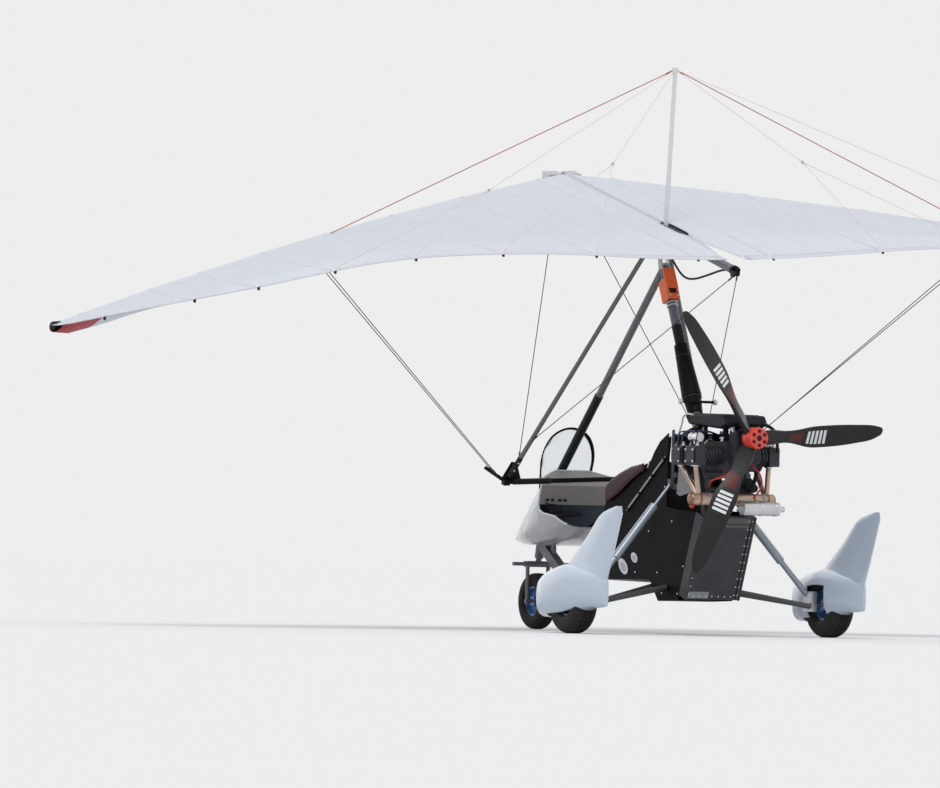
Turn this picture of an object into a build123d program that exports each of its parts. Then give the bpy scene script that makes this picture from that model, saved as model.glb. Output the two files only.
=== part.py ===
"""A weight-shift microlight: a flexible wing with a kingpost, hung over a three-wheeled trike.

Millimetres. +X is the aircraft's left, +Y aft, +Z up. The origin is on the ground, on the
centre line, halfway along the craft. The wing's pieces are drawn in the wing's own frame, with
its keel along Y through the origin and the wing level, and are then set at their pitch and bank.
"""
from build123d import *
from functools import cache
from math import radians, tan
import os

# Wheels and ground line.
WHEELBASE = 1976
REAR_AXLE_Y = 780
FRONT_AXLE_Y = REAR_AXLE_Y - WHEELBASE
HALF_TRACK = 860
REAR_TYRE_R = 190
REAR_TYRE_WIDTH = 150
FRONT_TYRE_R = 168
FRONT_TYRE_WIDTH = 108
RIM_R = 88
AXLE_R = 12.5
# The rear wheel's room inside its spat, half its width, and the stub axle's outer end.
WHEEL_ROOM = 80
AXLE_END = HALF_TRACK + WHEEL_ROOM - 0.3
RUNNING = 0.06

# Chassis, mast and front strut.
BEAM_WIDTH = 50
BEAM_HEIGHT = 56
BEAM_REAR = (0, 900, 318)
BEAM_KNEE = (0, -900, 345)
HEAD_TOP = (0, -1120, 700)
HEAD_FOOT = (0, -1220, 300)
MAST_R = 28
MAST_KNEE = (0, 790, 1000)
MAST_TOP = (0, 248, 2150)
STRUT_R = 22
STRUT_FOOT = (0, -1140, 760)
PITCH_PIVOT = (0, 230, 2235)

# Engine and propeller.
PROP_Y = 1340
PROP_Z = 1148
PROP_R = 865
BLADE_ANGLES = (55.5, 175.5, 295.5)
CRANK_Z = 1045
ENGINE_FRONT_Y = 850
ENGINE_REAR_Y = 1190

# Wing frame: keel along Y, zero above the pitch pivot.
KEEL_ORIGIN = (0, 250, 2355)
WING_PITCH = 16
WING_BANK = 2.7
KEEL_R = 25
KEEL_NOSE_Y = -1300
KEEL_TAIL_Y = 850
ROLL_AXIS_Z = -75
NOSE_Y = -1330
LEADING_SLOPE = 0.526
SEMI_SPAN = 4500
SKIN = 5
KINGPOST_TOP = (0, -104, 967)
APEX = (45, -43, -62)
CORNER = (700, -290, -1594)
BAR_R = 14
STAY_R = 2
STAY_SPAN = 2300

BASE = (Align.CENTER, Align.CENTER, Align.MIN)


def tube(start, end, radius, bore=0):
    """Return a round tube or rod between two points."""
    run = Vector(*end) - Vector(*start)
    plane = Plane(origin=start, z_dir=run)
    body = plane * Cylinder(radius, run.length, align=BASE)
    if bore:
        body -= plane * Cylinder(bore, run.length, align=BASE)
    return body


def box(low, high):
    """Return a box between two opposite corners."""
    size = [b - a for a, b in zip(low, high)]
    middle = [(a + b) / 2 for a, b in zip(low, high)]
    return Pos(*middle) * Box(*size)


def side_plate(outline, low_x, high_x):
    """Extrude an outline of (y, z) points from low_x to high_x."""
    face = Plane.YZ.offset(low_x) * make_face(Polyline(*outline, close=True))
    return extrude(face, high_x - low_x)


def between(start, end, part):
    """Return the point at a fraction of the way from start to end."""
    return tuple(a + (b - a) * part for a, b in zip(start, end))


def flip(point):
    """Mirror a point to the other side of the centre line."""
    return (-point[0], point[1], point[2])


def mirrored(shape):
    """Mirror a shape to the other side of the centre line."""
    return mirror(shape, about=Plane.YZ)


def across(y, z):
    """Return the plane across the craft at y, with its own origin at height z."""
    return Plane(origin=(0, y, z), x_dir=(1, 0, 0), z_dir=(0, -1, 0))


def joined(*shapes):
    """Fuse shapes that meet into one solid."""
    whole = shapes[0]
    for shape in shapes[1:]:
        whole = whole + shape
    return whole


# Chassis

@cache
def chassis_beam():
    """The square keel beam, rising to the steering head's tube."""
    half_h = BEAM_HEIGHT / 2
    (_, rear_y, rear_z), (_, knee_y, knee_z) = BEAM_REAR, BEAM_KNEE
    head_y, head_z = -1160, 520
    outline = [(rear_y, rear_z - half_h), (knee_y, knee_z - half_h), (head_y, head_z - 36),
               (head_y, head_z + 36), (knee_y + 20, knee_z + half_h), (rear_y, rear_z + half_h)]
    beam = side_plate(outline, -BEAM_WIDTH / 2, BEAM_WIDTH / 2)
    head = tube(between(HEAD_TOP, HEAD_FOOT, 0.08), between(HEAD_TOP, HEAD_FOOT, 0.68), 27)
    bore = tube(HEAD_TOP, HEAD_FOOT, 17 + RUNNING)
    return joined(beam, head) - bore


def beam_top(y):
    """Height of the beam's top face over its straight run."""
    (_, rear_y, rear_z), (_, knee_y, knee_z) = BEAM_REAR, BEAM_KNEE
    slope = (rear_z - knee_z) / (rear_y - knee_y - 20)
    return knee_z + BEAM_HEIGHT / 2 + slope * (y - knee_y - 20)


def front_strut():
    """The raked tube from the head up to the mast's top, with its forked foot."""
    foot = tube(between(HEAD_TOP, HEAD_FOOT, -0.12), between(HEAD_TOP, HEAD_FOOT, 0.079), 24)
    strut = tube((0, -1128, 757), between(STRUT_FOOT, MAST_TOP, 0.992), STRUT_R)
    return joined(foot, strut) - mast_cutter()


@cache
def mast_cutter():
    """The mast's own outside, for seating what meets it."""
    return tube(between(MAST_KNEE, MAST_TOP, -0.02), between(MAST_KNEE, MAST_TOP, 1.05), MAST_R)


@cache
def mast():
    """The mast: an upright tube from the beam, bent forward above the engine."""
    foot = (0, MAST_KNEE[1], BEAM_REAR[2] + 10)
    path = FilletPolyline(foot, MAST_KNEE, MAST_TOP, radius=3.5 * MAST_R)
    start = Plane(origin=foot, z_dir=(0, 0, 1))
    outside = sweep(start * Circle(MAST_R), path=path)
    inside = sweep(start * Circle(MAST_R - 4), path=path)
    return outside - inside - chassis_beam()


def mast_head():
    """The mast's cap, with two ears that hold the pitch bolt."""
    py, pz = PITCH_PIVOT[1:]
    cap = tube(between(MAST_KNEE, MAST_TOP, 1.0), between(MAST_KNEE, MAST_TOP, 1.012), MAST_R)
    outline = [(py + 2, pz - 96), (py + 44, pz - 96), (py + 17, pz + 13), (py - 17, pz + 13)]
    ears = side_plate(outline, 20, 28) + side_plate(outline, -28, -20)
    bolt = tube((-34, py, pz), (34, py, pz), 8)
    return joined(cap, ears, bolt) - tube(MAST_KNEE, MAST_TOP, MAST_R)


def mast_cone(start, end, start_r, end_r):
    """A tapered sleeve round the mast, between two fractions of the way up its rake."""
    low, high = between(MAST_KNEE, MAST_TOP, start), between(MAST_KNEE, MAST_TOP, end)
    run = Vector(*high) - Vector(*low)
    return Plane(origin=low, z_dir=run) * Cone(start_r, end_r, run.length, align=BASE)


def mast_fairing():
    """The tapered sleeve round the mast behind the passenger, with a cross bar under it."""
    sleeve = mast_cone(0.34, 0.60, 59, 40) + mast_cone(0.255, 0.34, 44, 54)
    bar_y, bar_z = 606 + 72, 1359
    bar = tube((-116, bar_y, bar_z), (116, bar_y, bar_z), 8)
    knobs = [tube((x - 8, bar_y, bar_z), (x + 8, bar_y, bar_z), 15) for x in (-116, 116)]
    return joined(sleeve, bar, *knobs) - mast_cutter()


def mast_clamp():
    """The orange clamp block round the mast below its head, with its forward hook."""
    low, high = between(MAST_KNEE, MAST_TOP, 0.825), between(MAST_KNEE, MAST_TOP, 0.93)
    run = Vector(*high) - Vector(*low)
    place = Plane(origin=low, x_dir=(1, 0, 0), z_dir=run)
    block = place * Box(76, 80, run.length, align=BASE)
    hook = place * Pos(0, 40, 0.5 * run.length) * Box(76, 14, 0.95 * run.length, align=BASE)
    return joined(block, hook) - mast_cutter()


# Steering

def fork():
    """The steering fork: stem, crown, two legs, the axle and the foot pegs."""
    stem = tube(between(HEAD_TOP, HEAD_FOOT, 0.085), between(HEAD_TOP, HEAD_FOOT, 0.80), 17)
    crown_y, crown_z = -1199, 390
    crown = box((-84, crown_y - 24, crown_z - 18), (84, crown_y + 24, crown_z + 18))
    legs = [tube((x, crown_y, crown_z), (x, FRONT_AXLE_Y, FRONT_TYRE_R - 22), 12)
            for x in (-70, 70)]
    axle = tube((-84, FRONT_AXLE_Y, FRONT_TYRE_R), (84, FRONT_AXLE_Y, FRONT_TYRE_R), AXLE_R)
    arms = [box((x - 8, crown_y, crown_z - 8), (x + 8, -1100, crown_z + 8)) for x in (-60, 60)]
    pegs = tube((-225, -1100, crown_z), (225, -1100, crown_z), 11)
    return joined(stem, crown, *legs, axle, *arms, pegs)


# Wheels

def tyre(radius, width):
    """A round-shouldered tyre about the X axis at the origin."""
    half = width / 2
    bead = half * 0.62
    flange = RIM_R + 0.22 * (radius - RIM_R)
    round_r = min(0.47 * (radius - RIM_R), 0.9 * half)
    bulge, wall = 0.293 * round_r, radius - round_r
    outline = make_face(
        Polyline((bead, RIM_R), (half, flange), (half, wall))
        + ThreePointArc((half, wall), (half - bulge, radius - bulge), (half - round_r, radius))
        + Line((half - round_r, radius), (round_r - half, radius))
        + ThreePointArc((round_r - half, radius), (bulge - half, radius - bulge), (-half, wall))
        + Polyline((-half, wall), (-half, flange), (-bead, RIM_R), (bead, RIM_R)))
    return revolve(outline, Axis.X)


def rim(width):
    """A dished rim with its hub, about the X axis at the origin."""
    half = width / 2 * 0.62
    barrel = Rot(0, 90, 0) * (Cylinder(RIM_R, 2 * half) - Cylinder(RIM_R - 8, 2 * half))
    web = Rot(0, 90, 0) * Cylinder(RIM_R - 4, 10)
    for i in range(5):
        web -= Rot(72 * i, 0, 0) * Pos(0, 56, 0) * Rot(0, 90, 0) * Cylinder(14, 20)
    hub = Rot(0, 90, 0) * Cylinder(30, 2 * half)
    return joined(barrel, web, hub) - Rot(0, 90, 0) * Cylinder(AXLE_R + RUNNING, 4 * half)


# Rear suspension

LEG_TOP = (176, 681, 874)
LEG_FOOT = (728, 742, 246)


def leg(side):
    """One raked leg: its rod, the thick damper sleeve and the tube down to the hub carrier."""
    def along(part):
        return between(LEG_TOP, LEG_FOOT, part)

    rod = tube(LEG_TOP, along(0.22), 9)
    sleeve = tube(along(0.2), along(0.69), 25)
    foot = tube(along(0.68), LEG_FOOT, 17)
    shape = joined(rod, sleeve, foot) - engine_mount() - hub_carrier(1)
    return shape if side > 0 else mirrored(shape)


def lower_arms(side):
    """The two lower suspension arms on one side."""
    outer = (735, 790, 178)
    rear = tube((60, 640, 296), outer, 16)
    front = tube((60, 380, 296), outer, 13)
    tie = box((BEAM_WIDTH / 2, 360, 286), (66, 660, 306))
    shape = joined(rear, front, tie) - hub_carrier(1)
    return shape if side > 0 else mirrored(shape)


@cache
def hub_carrier(side):
    """The upright block and stub axle that carry one rear wheel."""
    block = box((716, 722, 150), (752, 820, 268))
    axle = tube((740, REAR_AXLE_Y, REAR_TYRE_R), (AXLE_END, REAR_AXLE_Y, REAR_TYRE_R), AXLE_R)
    nut = tube((909, REAR_AXLE_Y, REAR_TYRE_R), (921, REAR_AXLE_Y, REAR_TYRE_R), 20)
    shape = joined(block, axle, nut)
    return shape if side > 0 else mirrored(shape)


# Each row: y, half width, bottom z, top z.
SPAT_SECTIONS = [(402, 14, 200, 292), (450, 60, 112, 318), (530, 88, 92, 352),
                 (650, 104, 88, 384), (780, 108, 96, 404), (900, 100, 120, 386),
                 (1000, 80, 150, 362), (1100, 54, 156, 334), (1178, 28, 162, 308)]
# Each row: z, front y, rear y, half thickness of the fin.
FIN_SECTIONS = [(290, 690, 1160, 44), (400, 708, 1217, 24), (550, 918, 1279, 16),
                (700, 1085, 1338, 9), (738, 1262, 1328, 5)]


def spat_body():
    """The spat's form about the wheel's middle plane."""
    faces = []
    for y, half, low, high in SPAT_SECTIONS:
        width, height = 2 * half, high - low
        round_r = 0.36 * min(width, height)
        face = across(y, (low + high) / 2) * RectangleRounded(width, height, round_r)
        faces.append(face)
    return loft(faces, ruled=True)


def spat_fin():
    """The tall fin on the spat's tail, lens-shaped at every height."""
    faces = []
    for z, front, rear, half in FIN_SECTIONS:
        middle = 0.6 * front + 0.4 * rear
        near = ThreePointArc((0, front), (half, middle), (0, rear))
        far = ThreePointArc((0, rear), (-half, middle), (0, front))
        faces.append(Plane.XY.offset(z) * make_face(near + far))
    return loft(faces, ruled=True)


def spat(side):
    """One wheel spat, hollow over the wheel and open below, with its tall fin."""
    middle = Pos(0, REAR_AXLE_Y, REAR_TYRE_R) * Rot(0, 90, 0)
    crown_room = middle * Cylinder(REAR_TYRE_R + 8, 2 * 66)
    wall_room = middle * Cylinder(REAR_TYRE_R - 12, 2 * WHEEL_ROOM)
    below = box((-78, 600, 0), (78, 940, REAR_TYRE_R - 20))
    inboard = box((-200, 690, 0), (-20, 880, 300))
    shell = joined(spat_body(), spat_fin())
    shell -= joined(crown_room, wall_room, below)
    shape = Pos(HALF_TRACK, 0, 0) * (shell - inboard)
    return shape if side > 0 else mirrored(shape)


# Body

# Each row: y, then half width and z at the floor's edge, the belt, the shoulder and the deck.
POD_SECTIONS = [
    (-1450, (14, 528), (20, 542), (14, 556), (7, 570)),
    (-1330, (52, 512), (78, 556), (46, 640), (12, 700)),
    (-1200, (100, 506), (148, 556), (84, 700), (18, 800)),
    (-1000, (195, 503), (255, 556), (156, 775), (46, 930)),
    (-800, (235, 506), (312, 562), (262, 780), (140, 955)),
    (-656, (245, 520), (314, 572), (308, 790), (262, 950)),
    (-500, (240, 545), (314, 590), (312, 790), (280, 950)),
    (-340, (225, 612), (306, 636), (306, 790), (280, 950)),
]
# Side outline of what the cockpit's opening takes away, (y, z): the lip first, then the dash.
COCKPIT = [(-330, 626), (-384, 651), (-447, 677), (-584, 694), (-635, 715), (-661, 745),
           (-642, 860), (-700, 905), (-905, 990), (-300, 1200)]
POD_WALL = 5


def pod_body(inset):
    """The nose pod's outer form, drawn in by inset."""
    faces = []
    for y, floor, belt, shoulder, deck in POD_SECTIONS:
        half = [(floor[0], floor[1] + inset), belt, shoulder, (deck[0], deck[1] - inset)]
        right = [(x - inset, z) for x, z in half]
        left = [(-x, z) for x, z in reversed(right)]
        faces.append(across(y, 0) * make_face(Polyline(*right, *left, close=True)))
    return loft(faces, ruled=True)


@cache
def pod_room():
    """The room inside the pod's shell, open at its rear."""
    return Pos(0, 4, 0) * pod_body(POD_WALL)


@cache
def pod():
    """The nose pod: a thin shell, open behind the dash and under the fork."""
    shell = pod_body(0) - pod_room()
    shell -= side_plate(COCKPIT, -400, 400)
    shell -= box((-45, -1215, 480), (45, -990, 600))
    shell -= tube(between(STRUT_FOOT, MAST_TOP, -0.1), between(STRUT_FOOT, MAST_TOP, 0.3), 34)
    return max(shell.solids(), key=lambda solid: solid.volume)


def dash_panel():
    """The dash across the pod: a sloping shelf and an upright face under it."""
    outline = [(-660, 747), (-641.5, 860), (-699.5, 905.5), (-836, 962), (-839, 956),
               (-703, 899), (-649, 857), (-667, 747)]
    return side_plate(outline, -400, 400) & pod_room()


# Each row: y, half width and top z of the windscreen's bubble.
SCREEN_SECTIONS = [(-1066, 30, 890), (-985, 112, 1045), (-905, 165, 1140), (-829, 190, 1203),
                   (-760, 196, 1225)]
SCREEN_FOOT_Z = 780
# Side outline of the windscreen's rear edge, (y, z), at the foot and over the top.
SCREEN_EDGE = [(-928, SCREEN_FOOT_Z), (-820, 1240)]


def screen_body(inset):
    """The windscreen's solid form, drawn in by inset."""
    faces = []
    for y, half, top in SCREEN_SECTIONS:
        half, top = half - inset, top - inset
        spring = top - half
        legs = Polyline((-half, spring), (-half, SCREEN_FOOT_Z), (half, SCREEN_FOOT_Z),
                        (half, spring))
        arch = ThreePointArc((half, spring), (0, top), (-half, spring))
        faces.append(across(y, 0) * make_face(legs + arch))
    return loft(faces, ruled=True)


def windscreen():
    """The clear bubble in front of the pilot, standing on the pod's deck."""
    shell = screen_body(0) - Pos(0, 4, 0) * screen_body(4)
    front = [(-1100, SCREEN_FOOT_Z), *SCREEN_EDGE, (-1100, 1240)]
    shell = (shell & side_plate(front, -300, 300)) - pod_body(0)
    return max(shell.solids(), key=lambda solid: solid.volume)


def windscreen_rim():
    """The black edging along the windscreen's rear edge."""
    (foot_y, foot_z), (top_y, top_z) = SCREEN_EDGE
    strip = [(foot_y, foot_z), (foot_y + 12, foot_z), (top_y + 12, top_z), (top_y, top_z)]
    ring = (screen_body(-3) - screen_body(6)) & side_plate(strip, -300, 300)
    ring -= pod_body(0)
    return max(ring.solids(), key=lambda solid: solid.volume)


def pod_frame():
    """The post and cross tube that carry the pod on the rising beam."""
    y, z = -1010, 690
    post = box((-12, y - 12, 430), (12, y + 12, z))
    cross = tube((-300, y, z), (300, y, z), 12)
    frame = joined(post, cross) & pod_room()
    return joined(frame, post) - chassis_beam() - pod()


SEAT_HALF = 172


def bucket(cheek, cushion, back):
    """A bucket seat: two side cheeks round a cushion and a back, from outlines of (y, z)."""
    cheeks = [side_plate(cheek, x, x + 26) for x in (-SEAT_HALF, SEAT_HALF - 26)]
    middle = [side_plate(outline, -SEAT_HALF + 20, SEAT_HALF - 20) for outline in (cushion, back)]
    return joined(*middle, *cheeks)


def seat_front():
    """The pilot's bucket seat on its pedestal, with curved side cheeks."""
    cheek = [(-92, 620), (-99, 707), (-60, 772), (-30, 850), (20, 890), (106, 930), (247, 983),
             (400, 1016), (330, 880), (190, 600), (110, 560), (-70, 578)]
    cushion = [(-88, 606), (110, 562), (150, 622), (-94, 660)]
    back = [(105, 565), (188, 600), (396, 1012), (352, 1006), (120, 628)]
    foot = [(-50, beam_top(-50)), (80, beam_top(80)), (80, 575), (-50, 600)]
    pedestal = side_plate(foot, -BEAM_WIDTH / 2, BEAM_WIDTH / 2)
    return joined(bucket(cheek, cushion, back), pedestal)


@cache
def seat_rear():
    """The passenger's seat, raised behind the pilot's, its cheeks sweeping up its back."""
    cheek = [(330, 700), (380, 860), (436, 982), (500, 1072), (570, 1135), (652, 1180),
             (662, 1184), (655, 1100), (640, 722)]
    cushion = [(320, 696), (620, 722), (620, 786), (332, 766)]
    back = [(560, 740), (612, 730), (662, 1150), (640, 1184), (602, 1172)]
    return bucket(cheek, cushion, back)


# Ends of the rail along each side of the body, (y, z).
SIDE_RAIL = [(199, 721), (642, 1036)]
BODY_HALF = 182
BODY_WALL = 5


def seat_frame():
    """The post under the rear seat, its tie to the mast and the two side rails."""
    post = side_plate([(322, beam_top(322)), (356, beam_top(356)), (356, 720), (322, 720)], -20, 20)
    bracket = box((-18, 640, 1080), (18, 730, 1110)) - mast_cutter()
    bracket = min(bracket.solids(), key=lambda solid: solid.center().Y)
    rails = []
    for x in (-BODY_HALF - 6, BODY_HALF + 6):
        start, end = [(x, y, z) for y, z in SIDE_RAIL]
        rails.append(tube(start, end, 6))
    return Compound(children=[post - seat_rear(), bracket - seat_rear(), *rails])


# Side outline of the body under the seats, (y, z): the floor from the front, then the rear and
# top edges, which follow the radiator's duct and the seats.
BODY_FLOOR = [(-9, 314), (406, 320), (477, 315), (576, 195), (874, 205)]
BODY_TOP = [(1062, 716), (799, 726), (655, 745), (660, 1168), (570, 1122), (500, 1056),
            (436, 968), (247, 966), (106, 914), (20, 874), (-34, 836), (-62, 756), (-100, 690)]


def tail_fairing():
    """The black body under the seats: two side walls, a floor and a front wall."""
    outline = BODY_FLOOR + BODY_TOP
    walls = [side_plate(outline, *sorted((turn * (BODY_HALF - BODY_WALL), turn * BODY_HALF)))
             for turn in (1, -1)]
    inner_floor = [(y + 3, z + BODY_WALL) for y, z in BODY_FLOOR]
    floor = side_plate(BODY_FLOOR + inner_floor[::-1], -BODY_HALF, BODY_HALF)
    foot, head = BODY_FLOOR[0], BODY_TOP[-1]
    front = side_plate([foot, (foot[0] + 6, foot[1]), (head[0] + 6, head[1]), head],
                       -BODY_HALF, BODY_HALF)
    shell = joined(*walls, floor, front)
    behind = [(780, 100), (820, 234), (1002, 718), (1040, 820), (1200, 820), (1200, 100)]
    shell -= side_plate(behind, -200, 200)
    for shape in (chassis_beam(), lower_arms(1), lower_arms(-1), seat_front(), seat_rear()):
        shell -= shape
    return max(shell.solids(), key=lambda solid: solid.volume)


# Engine

def engine_block():
    """The crankcase with its reduction gearbox and propeller flange."""
    case = box((-105, ENGINE_FRONT_Y, 962), (105, ENGINE_REAR_Y, 1128))
    gearbox = box((-80, ENGINE_REAR_Y, 1000), (80, ENGINE_REAR_Y + 78, 1190))
    flange = tube((0, ENGINE_REAR_Y + 78, PROP_Z), (0, PROP_Y - 36, PROP_Z), 52)
    return joined(case, gearbox, flange)


# Each row: side, y of the cylinder's middle.
CYLINDERS = [(1, 945), (1, 1108), (-1, 915), (-1, 1078)]
CYLINDER_R = 56
FIN_COUNT = 5


@cache
def cylinders():
    """The four flat-lying cylinders with cooling fins and square heads."""
    shapes = []
    for side, y in CYLINDERS:
        barrel = tube((105 * side, y, CRANK_Z), (236 * side, y, CRANK_Z), CYLINDER_R - 10)
        for i in range(FIN_COUNT):
            x = 120 + 21 * i
            fin = tube((x * side, y, CRANK_Z), ((x + 9) * side, y, CRANK_Z), CYLINDER_R)
            barrel = joined(barrel, fin)
        low_x, high_x = sorted((222 * side, 288 * side))
        head = box((low_x, y - 62, CRANK_Z - 58), (high_x, y + 62, CRANK_Z + 52))
        shapes.append(joined(barrel, head))
    return Compound(children=shapes)


@cache
def engine_mount():
    """The engine's frame: rails clamped to the mast between two triangular side plates."""
    rails = [box((x - 14, 690, 916), (x + 14, 1170, 944)) for x in (-66, 66)]
    ties = [box((-80, y - 15, 944), (80, y + 15, 962)) for y in (900, 1140)]
    clamp = box((-80, 750, 916), (80, 830, 944)) - tube((0, 790, 900), (0, 790, 960), MAST_R)
    crosses = [box((-160, 690, 916), (160, 714, 944)),
               tube((-160, 915, 850), (160, 915, 850), 11),
               tube((-160, 681, 1160), (160, 681, 1160), 9)]
    outline = [(668, 850), (670, 1192), (692, 1192), (698, 1066), (936, 862), (934, 836)]
    hole = [(694, 880), (694, 1030), (876, 872)]
    plates, lugs = [], []
    for x in (-160, 160):
        plates.append(side_plate(outline, x - 4, x + 4) - side_plate(hole, x - 4, x + 4))
        low_x, high_x = sorted((x, 1.15 * x))
        lugs.append(box((low_x, 664, 862), (high_x, 700, 906)))
    return joined(*rails, *ties, clamp, *crosses, *plates, *lugs) - mast_cutter()


def airbox():
    """The black wedge-shaped cover over the engine."""
    outline = [(752, 1291), (813, 1226), (1180, 1198), (1262, 1224), (1226, 1279)]
    cover = side_plate(outline, -138, 138)
    feet = [tube((x, y, 1128), (x, y, 1226), 12) for x in (-70, 70) for y in (900, 1120)]
    return joined(cover, *feet)


def carburettors():
    """The two silver carburettors on the rear cylinders' heads."""
    shapes = []
    for side, y in CYLINDERS[1::2]:
        x = 244 * side
        body = tube((x, y - 66, 1148), (x, y + 26, 1148), 27)
        bowl = tube((x, y - 20, 1108), (x, y - 20, 1150), 20)
        neck = tube((x, y - 20, CRANK_Z + 52), (x, y - 20, 1110), 15)
        shapes.append(joined(body, bowl, neck))
    return Compound(children=shapes)


def exhaust():
    """The bronze cross cylinder with its four down pipes."""
    y, z = 1105, 792
    can = tube((-262, y, z), (276, y, z), 36)
    pipes = [tube((252 * side, cy, CRANK_Z - 58), (225 * side, y, z), 15)
             for side, cy in CYLINDERS]
    return joined(can, *pipes) - cylinders()


def silencer():
    """The silver silencer under the cross cylinder."""
    y, z = 1180, 742
    can = tube((-255, y, z), (-20, y, z), 40)
    neck = tube((-140, y - 30, z + 16), (-140, 1105, 792), 16)
    return joined(can, neck) - tube((-262, 1105, 792), (276, 1105, 792), 36)


def radiator():
    """The leaning radiator panel in its duct frame behind the body."""
    low, high = (876, 214), (1058, 698)
    outline = [low, (low[0] + 14, low[1] - 5), (high[0] + 14, high[1] - 5), high]
    panel = side_plate(outline, -170, 170)
    rim_outline = [(low[0] - 56, low[1] + 20), (low[0] + 20, low[1] - 8),
                   (high[0] + 20, high[1] - 8), (high[0] - 56, high[1] + 20)]
    sides = [side_plate(rim_outline, x, x + 8) for x in (-182, 174)]
    cross = [side_plate(rim_outline, -174, -170), side_plate(rim_outline, 170, 174)]
    return joined(panel, *cross, *sides)


# Propeller

HUB_R = 62
# Each row: radius, chord, thickness, pitch angle in degrees.
BLADE_SECTIONS = [(46, 84, 40, 58), (100, 112, 38, 52), (220, 84, 28, 42), (400, 140, 19, 29),
                  (490, 138, 16, 25), (680, 114, 11, 19), (810, 78, 7, 16), (PROP_R, 36, 4, 15)]


def propeller_hub():
    """The propeller's hub: the clamp drum, the pressure plate and its six bolt heads."""
    drum = tube((0, PROP_Y - 35.7, PROP_Z), (0, PROP_Y + 44, PROP_Z), HUB_R)
    plate = tube((0, PROP_Y + 44, PROP_Z), (0, PROP_Y + 56, PROP_Z), HUB_R - 4)
    shape = joined(drum, plate)
    for i in range(6):
        bolt = Pos(0, PROP_Y + 56, PROP_Z) * Rot(0, 60 * i, 0) * Pos(0, 0, 0.66 * HUB_R)
        shape += bolt * Rot(-90, 0, 0) * Cylinder(8, 8, align=BASE)
    return shape


def blade_section(chord, thick):
    """A flat-faced blade section along local X, with its leading edge at the low end."""
    low, high = -0.38 * chord, 0.62 * chord
    outline = ThreePointArc((low, 0), (low + 0.33 * chord, thick), (high, 0.08 * thick))
    flat = Polyline((high, 0.08 * thick), (high, -0.08 * thick), (low, 0))
    return make_face(outline + flat)


def propeller_blades():
    """Three twisted blades, drawn from the hub outward."""
    faces = []
    for radius, chord, thick, angle in BLADE_SECTIONS:
        faces.append(Pos(0, 0, radius) * Rot(0, 0, angle) * blade_section(chord, thick))
    blade = loft(faces, ruled=True)
    blades = []
    for angle in BLADE_ANGLES:
        turned = Pos(0, PROP_Y, PROP_Z) * Rot(0, 90 - angle, 0) * Rot(0, 0, 180) * blade
        blades.append(turned - tube((0, PROP_Y - 60, PROP_Z), (0, PROP_Y + 60, PROP_Z), HUB_R))
    return Compound(children=blades)


# Wing, drawn level in its own frame

BANK_AXIS = Pos(0, 0, ROLL_AXIS_Z)
WING_PLACE = (Pos(*KEEL_ORIGIN) * Rot(-WING_PITCH, 0, 0) * BANK_AXIS * Rot(0, WING_BANK, 0)
              * BANK_AXIS.inverse())
BLOCK_PLACE = Pos(*KEEL_ORIGIN) * Rot(-WING_PITCH, 0, 0)

# Each row: station, trailing edge y and z, crest height over the chord line.
SAIL_STATIONS = [(0, 865, 64, 40), (450, 895, 84, 42), (1300, 945, 138, 40),
                 (2300, 1008, 128, 36), (3250, 1130, 12, 28), (4000, 1205, -85, 22),
                 (SEMI_SPAN, 1180, -180, 14)]
# Fractions of the chord at the crest, over the leading edge's tube, and at the hem.
CREST_PART = 0.06
HEM_PART = 0.985
HEM_THICKNESS = 7


def leading_edge(station):
    """The leading edge's (y, z) at a station along the span."""
    return NOSE_Y + LEADING_SLOPE * station, -14 - 0.0112 * station ** 2 / 1000


def sail_section(station, trail_y, trail_z, crest, inset):
    """The sail's profile at one station, drawn in by inset.

    It is round over the leading edge's tube and then runs straight to a thin hem.
    """
    lead_y, lead_z = leading_edge(station)
    chord, rise = trail_y - lead_y, trail_z - lead_z

    def at(part, height):
        return lead_y + part * chord, lead_z + part * rise + height

    depth = 0.25 * crest
    full = crest + depth
    taper = full - HEM_THICKNESS
    run = 1 if inset == 0 else (full - 2 * inset - 1) / taper
    end = CREST_PART + run * (HEM_PART - CREST_PART)
    front = at(2 * inset / chord, 0.6 * inset)
    shoulder = at(0.3 * CREST_PART + inset / chord, 0.62 * (crest - inset))
    top = at(CREST_PART, crest - inset)
    upper_end = at(end, crest - run * (crest - HEM_THICKNESS) - inset)
    lower_end = at(end, inset - depth * (1 - run))
    keelson = at(CREST_PART, inset - depth)
    upper = ThreePointArc(front, shoulder, top) + Line(top, upper_end)
    lower = Polyline(upper_end, lower_end, keelson, front)
    return Plane.YZ.offset(station) * make_face(upper + lower)


def sail(side):
    """One half of the sail: a double skin, hollow, slotted for the kingpost at the root."""
    skin = loft([sail_section(*row, 0) for row in SAIL_STATIONS], ruled=True)
    room = loft([sail_section(*row, SKIN) for row in SAIL_STATIONS[:-1]], ruled=True)
    shape = skin - room
    shape -= box((-1, -20, -200), (32, 230, 400))
    shape -= tube((0, KEEL_NOSE_Y - 60, 0), (0, KEEL_TAIL_Y + 60, 0), KEEL_R)
    return shape if side > 0 else mirrored(shape)


@cache
def keel_tube():
    """The wing's keel tube with the hang bracket's two lugs."""
    keel = tube((0, KEEL_NOSE_Y, 0), (0, KEEL_TAIL_Y, 0), KEEL_R, KEEL_R - 3)
    lugs = [box((-26, y, ROLL_AXIS_Z - 14), (26, y + 8, -KEEL_R + 3)) for y in (-32, 52)]
    pin = tube((0, -40, ROLL_AXIS_Z), (0, 68, ROLL_AXIS_Z), 8)
    solid = tube((0, -45, 0), (0, 75, 0), KEEL_R)
    return joined(keel, solid, *lugs, pin)


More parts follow.
